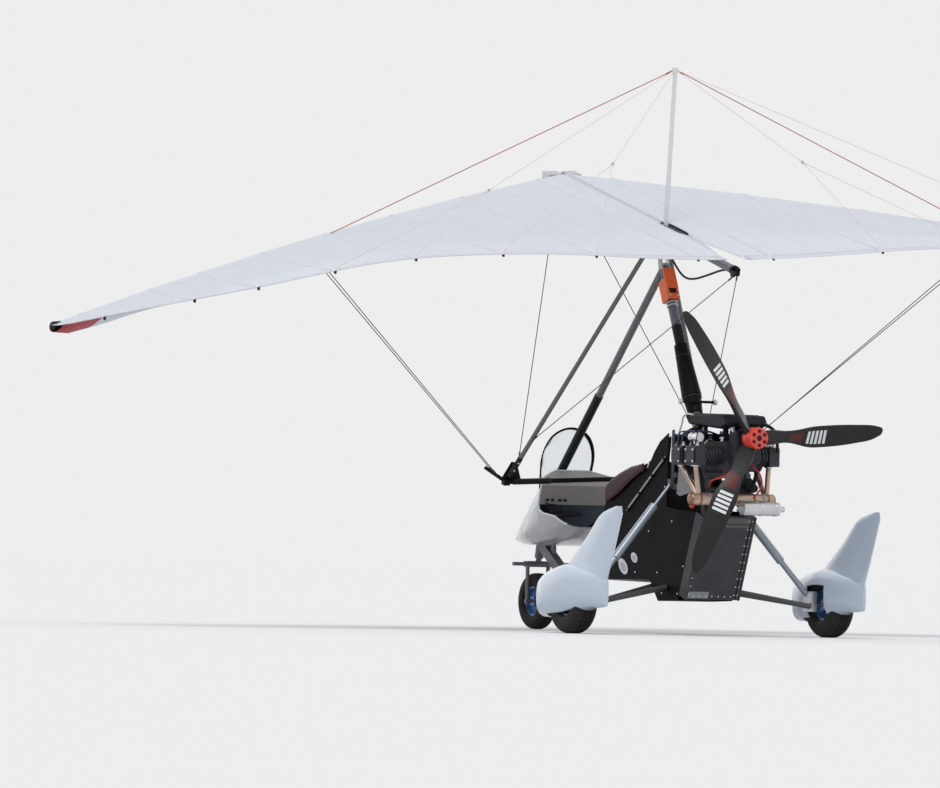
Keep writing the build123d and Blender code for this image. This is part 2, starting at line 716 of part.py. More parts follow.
@cache
def keel_tail():
    """The black fitting on the keel's tail with its pulley."""
    plug = tube((0, KEEL_TAIL_Y, 0), (0, KEEL_TAIL_Y + 24, 0), KEEL_R + 5)
    cheek = box((-14, KEEL_TAIL_Y + 24, -22), (14, KEEL_TAIL_Y + 52, 22))
    return joined(plug, cheek)


@cache
def nose_cap():
    """The nose fitting that wraps the leading edges where they meet the keel."""
    cap = box((-110, NOSE_Y - 18, -58), (110, NOSE_Y + 66, 20))
    cap = cap - sail_form()[0] - sail_form()[1] - tube((0, -1400, 0), (0, 0, 0), KEEL_R)
    return max(cap.solids(), key=lambda solid: solid.volume)


def kingpost():
    """The kingpost over the keel, leaning forward, with its black cap."""
    foot = tube((0, 8, 20), between((0, 8, 20), KINGPOST_TOP, 0.03), 18)
    post = tube((0, 8, 20), KINGPOST_TOP, 14)
    cap = tube(between((0, 8, 20), KINGPOST_TOP, 0.975), KINGPOST_TOP, 19)
    return joined(foot, post, cap) - tube((0, -200, 0), (0, 200, 0), KEEL_R)


def a_frame_head():
    """The bracket under the keel that the two downtubes hang from."""
    y, z = APEX[1:]
    saddle = box((-40, y - 34, z - 6), (40, y - 4, 0))
    return saddle - tube((0, -200, 0), (0, 200, 0), KEEL_R)


def downtube(side):
    """One side tube of the control frame."""
    start = between(APEX, CORNER, 0.012)
    shape = tube(start, between(APEX, CORNER, 0.975), 14, 11)
    return shape if side > 0 else mirrored(shape)


def base_bar():
    """The control bar with its two corner knuckles and turned-up tips."""
    x, y, z = CORNER
    bar = tube(flip(CORNER), CORNER, BAR_R)
    shapes = [bar]
    for turn in (1, -1):
        knuckle = (turn * x, y, z)
        tip = (turn * (x + 95), y - 105, z + 62)
        shapes.append(tube(knuckle, tip, 11))
        shapes.append(box((knuckle[0] - 20, y - 19, z - 18), (knuckle[0] + 20, y + 17, z + 19)))
    return joined(*shapes)


@cache
def sail_form():
    """The whole sail's outer form, both halves, for trimming what ends at its skin."""
    half = loft([sail_section(*row, 0) for row in SAIL_STATIONS], ruled=True)
    return half, mirrored(half)


def stays(pairs, *ends):
    """Rods for taut wires between pairs of points, on both sides, trimmed by what holds them."""
    rods = []
    for start, end in pairs:
        for rod in (tube(start, end, STAY_R), tube(flip(start), flip(end), STAY_R)):
            for shape in ends:
                rod = rod - shape
            rods.append(max(rod.solids(), key=lambda solid: solid.volume))
    return Compound(children=rods)


# The slack cord's route from the hang bracket to the keel's tail, (x, y, z) on the parked craft.
CORD_R = 6.5
CORD_ROUTE = [(0, 276, 2251), (3, 364, 2179), (9, 485, 2089), (12, 614, 2070), (6, 811, 2102),
              (0, 937, 2127), (-6, 1054, 2126)]


def keel_cord():
    """The slack cord under the keel, trimmed by the fittings that it leaves and meets."""
    points = [Vector(*point) for point in CORD_ROUTE]
    radii = []
    for before, corner, after in zip(points, points[1:], points[2:]):
        arrive, leave = corner - before, after - corner
        half_turn = radians(arrive.get_angle(leave) / 2)
        radii.append(0.45 * min(arrive.length, leave.length) / tan(half_turn))
    print("keel cord radii", [round(radius) for radius in radii])
    path = FilletPolyline(*points, radius=radii)
    print("keel cord length", round(path.length))
    start = Plane(origin=points[0], z_dir=points[1] - points[0])
    cord = sweep(start * Circle(CORD_R), path=path)
    cord = cord - WING_PLACE * keel_tube() - WING_PLACE * keel_tail()
    return max(cord.solids(), key=lambda solid: solid.volume)


def hang_block():
    """The block between the mast's ears and the keel's roll pin."""
    body = box((-19.5, -23, ROLL_AXIS_Z - 66), (19.5, 47, ROLL_AXIS_Z + 20))
    body = BLOCK_PLACE * body
    py, pz = PITCH_PIVOT[1:]
    body -= tube((-60, py, pz), (60, py, pz), 8 + RUNNING)
    roll_pin = BLOCK_PLACE * tube((0, -60, ROLL_AXIS_Z), (0, 90, ROLL_AXIS_Z), 8 + RUNNING)
    return body - roll_pin


def trike_nodes():
    """The root body: everything fixed to the chassis."""
    nodes = {
        "chassis_beam": chassis_beam(), "front_strut": front_strut(), "mast": mast(),
        "mast_head": mast_head(), "mast_fairing": mast_fairing(), "mast_clamp": mast_clamp(),
        "engine_block": engine_block(), "cylinders": cylinders(),
        "engine_mount": engine_mount(), "airbox": airbox(), "carburettors": carburettors(),
        "exhaust": exhaust(), "silencer": silencer(), "radiator": radiator(), "pod": pod(),
        "pod_frame": pod_frame(), "dash_panel": dash_panel(), "windscreen": windscreen(),
        "windscreen_rim": windscreen_rim(), "seat_front": seat_front(),
        "seat_rear": seat_rear(), "seat_frame": seat_frame(), "tail_fairing": tail_fairing(),
    }
    for word, side in (("left", 1), ("right", -1)):
        nodes[f"leg_{word}"] = leg(side)
        nodes[f"lower_arms_{word}"] = lower_arms(side)
        nodes[f"hub_carrier_{word}"] = hub_carrier(side)
        nodes[f"spat_{word}"] = spat(side)
    return nodes


def turning_nodes():
    """The fork, the wheels and the propeller."""
    nodes = {"fork": fork(), "propeller_hub": propeller_hub(),
             "propeller_blades": propeller_blades()}
    front = Pos(0, FRONT_AXLE_Y, FRONT_TYRE_R)
    nodes["front_tyre"] = front * tyre(FRONT_TYRE_R, FRONT_TYRE_WIDTH)
    nodes["front_rim"] = front * rim(FRONT_TYRE_WIDTH)
    for word, side in (("left", 1), ("right", -1)):
        place = Pos(side * HALF_TRACK, REAR_AXLE_Y, REAR_TYRE_R)
        nodes[f"rear_tyre_{word}"] = place * tyre(REAR_TYRE_R, REAR_TYRE_WIDTH)
        nodes[f"rear_rim_{word}"] = place * rim(REAR_TYRE_WIDTH)
    return nodes


def wing_nodes():
    """The wing's pieces, set at the wing's pitch and bank."""
    forms = sail_form()
    lead_y, lead_z = leading_edge(STAY_SPAN)
    junction = (STAY_SPAN, lead_y + 30, lead_z)
    post, bar = kingpost(), base_bar()
    tubes = [downtube(1), downtube(-1)]
    tail = keel_tail()
    upper = [(between((0, 0, 0), KINGPOST_TOP, 0.99), junction)]
    front_grip, rear_grip = between(CORNER, APEX, 0.085), between(CORNER, APEX, 0.165)
    x, y, z = CORNER
    lower = [((x + 34, y - 38, z + 22), junction),
             ((x + 50, y - 55, z + 32), (STAY_SPAN + 30, lead_y + 45, lead_z)),
             (front_grip, (26, NOSE_Y + 40, -40)),
             (rear_grip, (6, KEEL_TAIL_Y + 38, -16))]
    nodes = {
        "sail_left": sail(1), "sail_right": sail(-1), "keel_tube": keel_tube(),
        "keel_tail": tail, "nose_cap": nose_cap(), "kingpost": post,
        "a_frame_head": a_frame_head(), "downtube_left": tubes[0], "downtube_right": tubes[1],
        "base_bar": bar, "upper_stays": stays(upper, post, *forms),
        "lower_stays": stays(lower, bar, *tubes, tail, nose_cap(), *forms),
    }
    placed = {name: WING_PLACE * shape for name, shape in nodes.items()}
    return placed | {"keel_cord": keel_cord()}


def main():
    """Write one STEP file for each node."""
    os.makedirs("parts", exist_ok=True)
    nodes = trike_nodes() | turning_nodes() | wing_nodes() | {"hang_block": hang_block()}
    for name, shape in nodes.items():
        export_step(shape, f"parts/{name}.step")


if __name__ == "__main__":
    main()
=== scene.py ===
"""The looks of a flexwing microlight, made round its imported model.

Metres. +X is the aircraft's left, +Y aft, +Z up. The wing's pieces are worked out level in the
wing's own frame, with its keel along Y, and then set at the pitch and bank that the model has.
"""

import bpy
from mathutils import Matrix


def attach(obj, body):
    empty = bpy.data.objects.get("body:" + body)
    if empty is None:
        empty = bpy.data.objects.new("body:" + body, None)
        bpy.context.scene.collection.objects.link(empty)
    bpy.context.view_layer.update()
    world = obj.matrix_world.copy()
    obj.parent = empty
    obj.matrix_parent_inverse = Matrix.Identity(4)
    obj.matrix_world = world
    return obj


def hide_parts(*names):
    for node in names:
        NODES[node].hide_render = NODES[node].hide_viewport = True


bl_info = {
    "name": "Flexwing microlight",
    "version": (1, 0, 0),
    "blender": (4, 5, 0),
    "location": "3D View > Sidebar > Microlight",
    "description": "Cloth, shells, engine dress and rigging for the packed microlight",
    "category": "Object",
}

from math import cos, pi, radians, sin

import bmesh
import bpy
import numpy as np
from bpy.props import FloatProperty, FloatVectorProperty, PointerProperty
from mathutils import Matrix, Vector
from mathutils.bvhtree import BVHTree

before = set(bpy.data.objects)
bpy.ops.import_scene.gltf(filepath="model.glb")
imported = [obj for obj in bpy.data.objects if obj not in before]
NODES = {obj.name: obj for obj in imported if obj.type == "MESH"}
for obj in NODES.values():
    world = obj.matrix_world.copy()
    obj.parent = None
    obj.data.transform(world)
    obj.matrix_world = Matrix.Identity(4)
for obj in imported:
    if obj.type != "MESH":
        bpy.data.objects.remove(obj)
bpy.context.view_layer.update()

# The keel's origin, the wing's pitch and bank, and the roll axis's height from the keel's.
KEEL_ORIGIN = np.array([0, 0.25, 2.355])
WING_PITCH = radians(16)
WING_BANK = radians(2.7)
ROLL_AXIS_Z = -0.075


# Numbers and shapes

def rotation(x=0.0, y=0.0, z=0.0):
    """The matrix that turns about X, then Y, then Z, by angles in radians."""
    cx, sx, cy, sy, cz, sz = cos(x), sin(x), cos(y), sin(y), cos(z), sin(z)
    turn_x = np.array([[1, 0, 0], [0, cx, -sx], [0, sx, cx]])
    turn_y = np.array([[cy, 0, sy], [0, 1, 0], [-sy, 0, cy]])
    turn_z = np.array([[cz, -sz, 0], [sz, cz, 0], [0, 0, 1]])
    return turn_z @ turn_y @ turn_x


def on_wing(points):
    """Points of the level wing's frame, banked about the roll axis and pitched about the keel."""
    low = np.array([0, 0, ROLL_AXIS_Z])
    banked = (np.asarray(points, float) - low) @ rotation(y=WING_BANK).T + low
    return banked @ rotation(x=-WING_PITCH).T + KEEL_ORIGIN


def through(xs, ys, at):
    """A cubic curve through a table, with each slope the mean of its neighbours' slopes."""
    xs, ys = np.asarray(xs, float), np.asarray(ys, float)
    slopes = np.gradient(ys, xs)
    k = np.clip(np.searchsorted(xs, at) - 1, 0, len(xs) - 2)
    step = xs[k + 1] - xs[k]
    t = (at - xs[k]) / step
    return (ys[k] * (2 * t ** 3 - 3 * t ** 2 + 1) + ys[k + 1] * (3 * t ** 2 - 2 * t ** 3)
            + slopes[k] * step * (t ** 3 - 2 * t ** 2 + t)
            + slopes[k + 1] * step * (t ** 3 - t ** 2))


def read_off(table, at):
    """The smooth curves through a table's further columns, at places along its first."""
    return [through(table[:, 0], table[:, k], at) for k in range(1, table.shape[1])]


def bend_line(points, count):
    """count points on the smooth line through a few, spaced by the length between those."""
    points = np.asarray(points, float)
    gaps = np.linalg.norm(np.diff(points, axis=0), axis=1)
    run = np.concatenate([[0], np.cumsum(gaps)])
    at = np.linspace(0, run[-1], count)
    return np.stack([through(run, points[:, k], at) for k in range(3)], axis=1)


def grid_faces(rows, cols, ring=False):
    """The quads of a grid of points, row by row, closed round each row where it is a ring."""
    i = np.arange(rows - 1)
    j = np.arange(cols if ring else cols - 1)
    a, b = (m.ravel() for m in np.meshgrid(i, j, indexing="ij"))
    after = (b + 1) % cols
    here, ahead = a * cols, (a + 1) * cols
    return np.stack([here + b, ahead + b, ahead + after, here + after], 1).tolist()


def pipe(path, radius, sides, up=(0, 0, 1)):
    """A circle carried along a path, its ends closed.

    The circle's first axis is kept square to the path and turns no more than the path makes it.
    """
    path = np.asarray(path, float)
    along = np.gradient(path, axis=0)
    along /= np.linalg.norm(along, axis=1, keepdims=True)
    side = [np.cross(along[0], np.asarray(up, float))]
    for ahead in along:
        turned_side = side[-1] - ahead * (side[-1] @ ahead)
        side.append(turned_side / np.linalg.norm(turned_side))
    side = np.array(side[1:])
    over = np.cross(side, along)
    turn = np.linspace(0, 2 * pi, sides, endpoint=False)[None, :, None]
    size = np.broadcast_to(np.asarray(radius, float), (len(path),))[:, None, None]
    ring = np.cos(turn) * side[:, None] + np.sin(turn) * over[:, None]
    points = (path[:, None] + size * ring).reshape(-1, 3)
    faces = grid_faces(len(path), sides, ring=True)
    faces += [list(range(sides)), list(range(len(points) - 1, len(points) - sides - 1, -1))]
    return points, faces


def rod(start, end, radius):
    """A straight round bar between two points."""
    start, end = np.asarray(start, float), np.asarray(end, float)
    up = (1, 0, 0) if abs(end - start)[0] < 0.9 * np.linalg.norm(end - start) else (0, 0, 1)
    return pipe([start, end], radius, 14, up)


def turned(profile, origin, axis, sides):
    """A profile of (distance, radius) turned about an axis from origin, its ends closed."""
    profile = np.asarray(profile, float)
    axis = np.asarray(axis, float) / np.linalg.norm(axis)
    other = np.array([0, 0, 1.0]) if abs(axis[2]) < 0.9 else np.array([1.0, 0, 0])
    side = np.cross(axis, other)
    side /= np.linalg.norm(side)
    over = np.cross(side, axis)
    turn = np.linspace(0, 2 * pi, sides, endpoint=False)[None, :, None]
    ring = np.cos(turn) * side + np.sin(turn) * over
    centre = np.asarray(origin, float) + profile[:, :1] * axis
    points = (centre[:, None] + profile[:, 1][:, None, None] * ring).reshape(-1, 3)
    faces = grid_faces(len(profile), sides, ring=True)
    faces += [list(range(sides)), list(range(len(points) - 1, len(points) - sides - 1, -1))]
    return points, faces


def hose(points, radius, sides, count):
    """A round hose along the smooth line through a few points."""
    return pipe(bend_line(points, count), radius, sides)


def nut(spot, axis, radius, height=0.006):
    """A six-sided nut or bolt head, its outer edge broken."""
    return turned([(0, radius), (height - 0.001, radius), (height, radius - 0.0015)], spot, axis, 6)


def band(spot, axis, half, inner, outer):
    """A flat ring round a tube, half wide to either side."""
    return turned([(-half, inner), (-half, outer), (half, outer), (half, inner)], spot, axis, 40)


def dome(spot, radius, axis):
    """A rivet or screw head: its radius falls as the cosine while it rises half as the sine."""
    turn = np.linspace(0, pi / 2 * 0.9, 4)
    cap = np.stack([0.5 * radius * np.sin(turn), radius * np.cos(turn)], 1)
    return turned(np.concatenate([[(-0.001, radius)], cap]), spot, axis, 10)


def sheet_grid(points):
    """A grid of points, rows by columns by three, as one open surface."""
    rows, cols = points.shape[:2]
    return points.reshape(-1, 3), grid_faces(rows, cols)


def prism(outline, low, high, axis=0):
    """An outline carried along one axis from low to high. Its two numbers are the other axes'."""
    outline = np.asarray(outline, float)
    others = [k for k in range(3) if k != axis]
    n = len(outline)
    points = np.zeros((2 * n, 3))
    points[:n, axis], points[n:, axis] = low, high
    points[:n, others] = outline
    points[n:, others] = outline
    ends = [list(range(n))[::-1], list(range(n, 2 * n))]
    sides = [[k, (k + 1) % n, n + (k + 1) % n, n + k] for k in range(n)]
    u, v = outline.T
    area = np.sum(u * np.roll(v, -1) - np.roll(u, -1) * v)
    if (area < 0) != (axis == 1):
        ends, sides = [f[::-1] for f in ends], [f[::-1] for f in sides]
    return points, ends + sides


def block(low, high):
    """A box from its lowest to its highest corner."""
    return prism([(low[1], low[2]), (high[1], low[2]), (high[1], high[2]), (low[1], high[2])],
                 low[0], high[0])


def flipped(shape, flip=True):
    """A shape with its faces turned over, where that is asked for."""
    return (shape[0], [face[::-1] for face in shape[1]]) if flip else shape


def mirrored(shape):
    """A shape's twin on the other side of the centre plane."""
    return flipped((shape[0] * [-1, 1, 1], shape[1]))


def joined(shapes):
    """Several shapes as one."""
    points, faces, start = [], [], 0
    for p, f in shapes:
        points.append(p)
        faces += [[k + start for k in face] for face in f]
        start += len(p)
    return np.concatenate(points), faces


# Corners nearer than this are one, and edges sharper than these are rounded or kept sharp.
SAME_SPOT = 2e-5
ROUNDED_FROM = radians(35)
SHARP_FROM = radians(38)


def piece(name, shape, material, body, stands_for=(), bevel=0.0, thick=0.0, uv=None,
          closed=True, weld=False, inward=False):
    """A mesh piece that rides on a body, with its finish or that finish's name.

    A closed shape has its seams merged and its faces turned outwards. An open one has its seams
    merged where weld asks for it. A thickness lies to both sides, or inward.
    """
    points, faces = shape
    mesh = bpy.data.meshes.new(name)
    mesh.from_pydata(points.tolist(), [], faces)
    if uv is None and (closed or weld):
        cage = bmesh.new()
        cage.from_mesh(mesh)
        bmesh.ops.remove_doubles(cage, verts=cage.verts, dist=SAME_SPOT)
        if closed:
            bmesh.ops.recalc_face_normals(cage, faces=cage.faces)
        cage.to_mesh(mesh)
        cage.free()
    if uv is not None:
        layer = mesh.uv_layers.new(name="cloth")
        corners = np.zeros(len(mesh.loops), np.int32)
        mesh.loops.foreach_get("vertex_index", corners)
        layer.data.foreach_set("uv", np.asarray(uv, np.float32)[corners].ravel())
    mesh.polygons.foreach_set("use_smooth", np.full(len(mesh.polygons), True))
    mesh.materials.append(look(material) if isinstance(material, str) else material)
    obj = bpy.data.objects.new(name, mesh)
    bpy.context.scene.collection.objects.link(obj)
    if thick:
        wall = obj.modifiers.new("wall", "SOLIDIFY")
        wall.thickness, wall.offset = thick, -1.0 if inward else 0.0
    if bevel:
        edge = obj.modifiers.new("edge", "BEVEL")
        edge.width, edge.segments, edge.limit_method = bevel, 2, "ANGLE"
        edge.angle_limit = ROUNDED_FROM
    mesh.set_sharp_from_angle(angle=SHARP_FROM)
    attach(obj, body)
    if stands_for:
        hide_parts(*stands_for)
    return obj


# Finishes

def add_node(tree, kind, given=None, **ways):
    """A new shader node, with its settings made and its inputs fed."""
    node = tree.nodes.new("ShaderNode" + kind)
    for way, value in ways.items():
        setattr(node, way, value)
    feed(tree, node, given or {})
    return node


def feed(tree, node, given):
    """Gives a node's inputs what they are to take: a link from an output, or a value."""
    for key, value in given.items():
        if isinstance(value, bpy.types.NodeSocket):
            tree.links.new(value, node.inputs[key])
        else:
            node.inputs[key].default_value = value


def maths(tree, operation, *terms):
    """What an operation makes of outputs and numbers."""
    return add_node(tree, "Math", dict(enumerate(terms)), operation=operation).outputs["Value"]


def ranged(tree, value, low, high, start=0.0, end=1.0):
    """A value's run from start to end stretched to run from low to high."""
    return add_node(tree, "MapRange", {"Value": value, "From Min": start, "From Max": end,
                                       "To Min": low, "To Max": high}).outputs["Result"]


def laid_over(tree, share, under, over):
    """One colour laid over another by a share."""
    return add_node(tree, "Mix", {"Factor": share, "A": under, "B": over},
                    data_type="RGBA").outputs["Result"]


def relief(tree, height, strength, depth):
    """The slants of a surface raised by a height."""
    return add_node(tree, "Bump", {"Height": height, "Strength": strength,
                                   "Distance": depth}).outputs["Normal"]


def show_blend(tree, share, first, second, output="Material Output"):
    """Shows a blend of two surfaces, with a share of the second."""
    blend = add_node(tree, "MixShader", {"Fac": share, 1: first, 2: second})
    feed(tree, tree.nodes[output], {"Surface": blend.outputs["Shader"]})


def line_mask(tree, value, places, half):
    """One where a value is within half of any of the places, and nothing elsewhere."""
    total, *others = [maths(tree, "COMPARE", value, at, half) for at in places]
    for near in others:
        total = maths(tree, "MAXIMUM", total, near)
    return total


def blank(name):
    """A new material, its tree and its skin."""
    made = bpy.data.materials.new(name)
    made.use_nodes = True
    return made, made.node_tree, made.node_tree.nodes["Principled BSDF"]


def shown_parts(made):
    """A finish's tree, its skin, and the colour that the skin has so far."""
    skin = made.node_tree.nodes["Principled BSDF"]
    return made.node_tree, skin, skin.inputs["Base Color"].links[0].from_socket


def tinted(colour, share):
    """A colour made lighter or darker by a share, kept within what a colour can be."""
    return tuple(min(max(c * (1 + share), 0.0), 1.0) for c in colour[:3]) + (1.0,)


# The dust's colour, and how far a finish's roughness drifts to either side.
DUST = (0.42, 0.36, 0.28, 1)
ROUGH_DRIFT = 0.08


def finish(name, colour, rough=0.5, metallic=0.0, mottle=0.06, mottle_size=0.15, grain=0.0,
           grain_size=0.002, dust=0.0, coat=0.0, sheen=0.0, shine=0.5, stretch=(1, 1, 1)):
    """A surface whose colour and roughness drift with soft noise, over a fine raised grain.

    Dust lightens it towards a dry earth colour where a slow noise is high and faces look up.
    """
    made, tree, skin = blank(name)
    place = add_node(tree, "TexCoord")
    size = add_node(tree, "Mapping", {"Vector": place.outputs["Object"], "Scale": stretch})
    size = size.outputs["Vector"]
    slow = add_node(tree, "TexNoise", {"Vector": size, "Scale": 1 / mottle_size, "Detail": 5})
    slow = slow.outputs["Fac"]
    shade = laid_over(tree, slow, tinted(colour, -mottle), tinted(colour, mottle))
    if dust:
        facing = add_node(tree, "NewGeometry")
        parts = add_node(tree, "SeparateXYZ", {"Vector": facing.outputs["Normal"]})
        amount = maths(tree, "MULTIPLY", parts.outputs["Z"], slow)
        shade = laid_over(tree, ranged(tree, amount, 0.0, dust, 0.1, 0.7), shade, DUST)
    gloss = ranged(tree, slow, max(rough - ROUGH_DRIFT, 0.03), min(rough + ROUGH_DRIFT, 1.0))
    feed(tree, skin, {"Base Color": shade, "Roughness": gloss, "Metallic": metallic,
                      "Coat Weight": coat, "Coat Roughness": 0.12, "Sheen Weight": sheen,
                      "Specular IOR Level": shine})
    if grain:
        fine = add_node(tree, "TexNoise", {"Vector": size, "Scale": 1 / grain_size, "Detail": 3})
        feed(tree, skin, {"Normal": relief(tree, fine.outputs["Fac"], grain, grain_size)})
    return made


# Each row: a finish's colour or the setting that holds it, its roughness, metal, mottling with its
# size, grain with its size, dust, coat, sheen and shine, and how its noise is stretched, if it is.
LOOKS = {
    # The lip's pale gelcoat also draws the painted highlight along the fins' rear edges.
    "lip_gelcoat": ((0.74, 0.77, 0.80), 0.3, 0, 0.03, 0.15, 0, 0.002, 0, 0.5, 0, 0.5),
    # The spats' row takes that colour: painted shade and a painted sky reflection on white gelcoat.
    "spat_gelcoat": ("spat", 0.22, 0, 0.035, 0.3, 0.02, 0.03, 0.12, 0.6, 0, 0.5),
    "tyre_rubber": ((0.016, 0.0155, 0.015), 0.8, 0, 0.3, 0.05, 0.3, 0.002, 0.1, 0, 0, 0.3),
    "nut_steel": ((0.6, 0.61, 0.63), 0.28, 0.95, 0.08, 0.01, 0, 0.002, 0, 0, 0, 0.5),
    "bolt_black": ((0.02, 0.02, 0.022), 0.35, 0.5, 0.1, 0.01, 0, 0.002, 0, 0, 0, 0.5),
    "hub_band": ((0.5, 0.03, 0.03), 0.3, 0.6, 0.05, 0.15, 0, 0.002, 0, 0, 0, 0.5),
    "seat_cloth": ("seat", 0.8, 0, 0.25, 0.05, 0.5, 0.0012, 0, 0, 0.12, 0.25),
    "seat_leather": ("seat_wine", 0.5, 0, 0.2, 0.06, 0.35, 0.0022, 0, 0, 0, 0.35),
    "seat_piping": ((0.03, 0.028, 0.03), 0.55, 0, 0.1, 0.02, 0.2, 0.001, 0, 0, 0, 0.3),
    "seat_shell": ((0.012, 0.012, 0.014), 0.45, 0, 0.2, 0.08, 0.2, 0.001, 0, 0, 0, 0.25),
    "stay_red": ("rigging", 0.45, 0, 0.15, 0.05, 0, 0.002, 0, 0, 0, 0.5),
    "stay_dark": ((0.055, 0.032, 0.028), 0.5, 0, 0.2, 0.05, 0, 0.002, 0, 0, 0, 0.3),
    "luff_line": ((0.72, 0.60, 0.56), 0.6, 0, 0.08, 0.02, 0, 0.002, 0, 0, 0, 0.5),
    "rig_steel": ((0.62, 0.63, 0.65), 0.25, 0.95, 0.06, 0.01, 0, 0.002, 0, 0, 0, 0.5),
    # Black fittings, and the painted shade under the sail's root slot.
    "rig_black": ((0.012, 0.012, 0.014), 0.45, 0, 0.2, 0.02, 0, 0.002, 0, 0, 0, 0.25),
    "tab_white": ((0.74, 0.75, 0.77), 0.5, 0, 0.04, 0.15, 0, 0.002, 0, 0, 0, 0.5),
    "cover_black": ((0.009, 0.010, 0.014), 0.42, 0, 0.2, 0.08, 0.06, 0.001, 0, 0, 0, 0.16),
    "hose_rubber": ((0.010, 0.010, 0.011), 0.55, 0, 0.2, 0.02, 0.15, 0.001, 0, 0, 0, 0.3),
    "bolt_steel": ((0.62, 0.63, 0.66), 0.25, 0.95, 0.08, 0.01, 0, 0.002, 0, 0, 0, 0.5),
    "plate_dark": ((0.030, 0.033, 0.042), 0.4, 0.5, 0.25, 0.03, 0, 0.002, 0, 0, 0, 0.3),
    "hose_red": ((0.50, 0.035, 0.02), 0.45, 0, 0.12, 0.02, 0, 0.002, 0, 0, 0, 0.5),
    "hose_pale": ((0.62, 0.63, 0.64), 0.4, 0, 0.1, 0.02, 0, 0.002, 0, 0, 0, 0.5),
    "lead_blue": ((0.02, 0.035, 0.10), 0.4, 0, 0.15, 0.02, 0, 0.002, 0, 0, 0, 0.5),
    "pipe_bronze": ((0.30, 0.17, 0.11), 0.38, 0.85, 0.3, 0.03, 0, 0.002, 0, 0, 0, 0.5),
    "bracket_grey": ((0.20, 0.20, 0.21), 0.42, 0.6, 0.25, 0.04, 0, 0.002, 0, 0, 0, 0.5),
    "radiator_band": ((0.24, 0.25, 0.27), 0.4, 0.5, 0.15, 0.05, 0, 0.002, 0, 0, 0, 0.5),
    "radiator_flange": ((0.10, 0.10, 0.105), 0.42, 0.4, 0.2, 0.06, 0, 0.002, 0, 0, 0, 0.5),
    "rivet_steel": ((0.66, 0.67, 0.69), 0.3, 0.9, 0.08, 0.01, 0, 0.002, 0, 0, 0, 0.5),
    "trim_black": ((0.010, 0.010, 0.012), 0.5, 0, 0.15, 0.03, 0, 0.002, 0, 0, 0, 0.25),
    "badge_white": ((0.66, 0.68, 0.72), 0.35, 0, 0.05, 0.02, 0, 0.002, 0, 0, 0, 0.5),
    "badge_grey": ((0.38, 0.41, 0.50), 0.4, 0, 0.08, 0.01, 0, 0.002, 0, 0, 0, 0.5),
    "rail_silver": ((0.34, 0.35, 0.38), 0.35, 0.8, 0.05, 0.2, 0, 0.002, 0, 0, 0, 0.5),
    "downtube_anodised": ((0.17, 0.17, 0.18), 0.45, 0.35, 0.05, 0.2, 0, 0.002, 0, 0, 0, 0.35),
    "tube_bolt": ((0.62, 0.63, 0.65), 0.3, 0.95, 0.06, 0.01, 0, 0.002, 0, 0, 0, 0.5),
    "tube_plug": ((0.012, 0.012, 0.014), 0.5, 0, 0.15, 0.02, 0, 0.002, 0, 0, 0, 0.25),
    "tube_anodised": ((0.17, 0.17, 0.19), 0.45, 0.35, 0.05, 0.25, 0, 0.002, 0, 0, 0, 0.35),
    "leg_enamel": ((0.30, 0.34, 0.40), 0.35, 0.4, 0.07, 0.1, 0.05, 0.002, 0.25, 0, 0, 0.5),
    "arm_enamel": ((0.085, 0.088, 0.098), 0.4, 0.3, 0.1, 0.08, 0.05, 0.002, 0.15, 0, 0, 0.3),
    "fitting_metal": ((0.55, 0.56, 0.58), 0.3, 0.9, 0.08, 0.04, 0.06, 0.002, 0, 0, 0, 0.5),
    "kingpost_silver": ((0.72, 0.73, 0.76), 0.3, 0.75, 0.05, 0.1, 0, 0.002, 0, 0, 0, 0.5),
    "black_plastic": ((0.007, 0.007, 0.0085), 0.5, 0, 0.25, 0.06, 0.1, 0.001, 0, 0, 0, 0.1),
    "clamp_orange": ("clamp", 0.38, 0, 0.08, 0.05, 0.06, 0.002, 0, 0, 0, 0.5),
    "cast_metal": ((0.040, 0.042, 0.050), 0.5, 0.5, 0.4, 0.03, 0.3, 0.0016, 0.1, 0, 0, 0.5),
    "heated_steel": ((0.50, 0.37, 0.30), 0.38, 0.8, 0.45, 0.09, 0.12, 0.002, 0, 0, 0, 0.5),
    "silencer_steel": ((0.60, 0.61, 0.63), 0.3, 0.85, 0.12, 0.05, 0, 0.002, 0, 0, 0, 0.5,
                       (0.2, 1, 1)),
    "radiator_sheet": ((0.050, 0.052, 0.058), 0.48, 0.4, 0.35, 0.10, 0.05, 0.002, 0, 0, 0, 0.3),
    "dash_panel": ((0.34, 0.32, 0.30), 0.5, 0, 0.1, 0.05, 0.15, 0.001, 0, 0, 0, 0.5),
    "carburettor_silver": ((0.66, 0.68, 0.72), 0.28, 0.9, 0.1, 0.02, 0.1, 0.001, 0, 0, 0, 0.5),
    "fairing_gloss": ((0.0028, 0.0026, 0.0036), 0.5, 0, 0.2, 0.2, 0.02, 0.02, 0, 0, 0, 0.06),
    "rim_paint": ("rim", 0.3, 0.4, 0.1, 0.05, 0, 0.002, 0, 0.3, 0, 0.5),
    "hub_red": ((0.78, 0.075, 0.055), 0.38, 0, 0.08, 0.03, 0, 0.002, 0, 0, 0, 0.5),
    "cord_sleeve": ((0.02, 0.018, 0.02), 0.75, 0, 0.25, 0.02, 0.6, 0.002, 0, 0, 0, 0.5),
}


# The finishes that are made so far, by name.
MADE = {}


def look(name):
    """The finish of that name, made by its row where it isn't made yet."""
    if name not in MADE:
        colour, *numbers = LOOKS[name]
        if isinstance(colour, str):
            colour = getattr(settings()[0], colour)
        MADE[name] = finish(name, colour, *numbers)
    return MADE[name]


# The pod's two lines: how their height is measured from x, y and z, and where they lie.
POD_LINE_WAY = (0, -0.4315, 0.9023)
POD_LINES = (0.9507, 0.985)


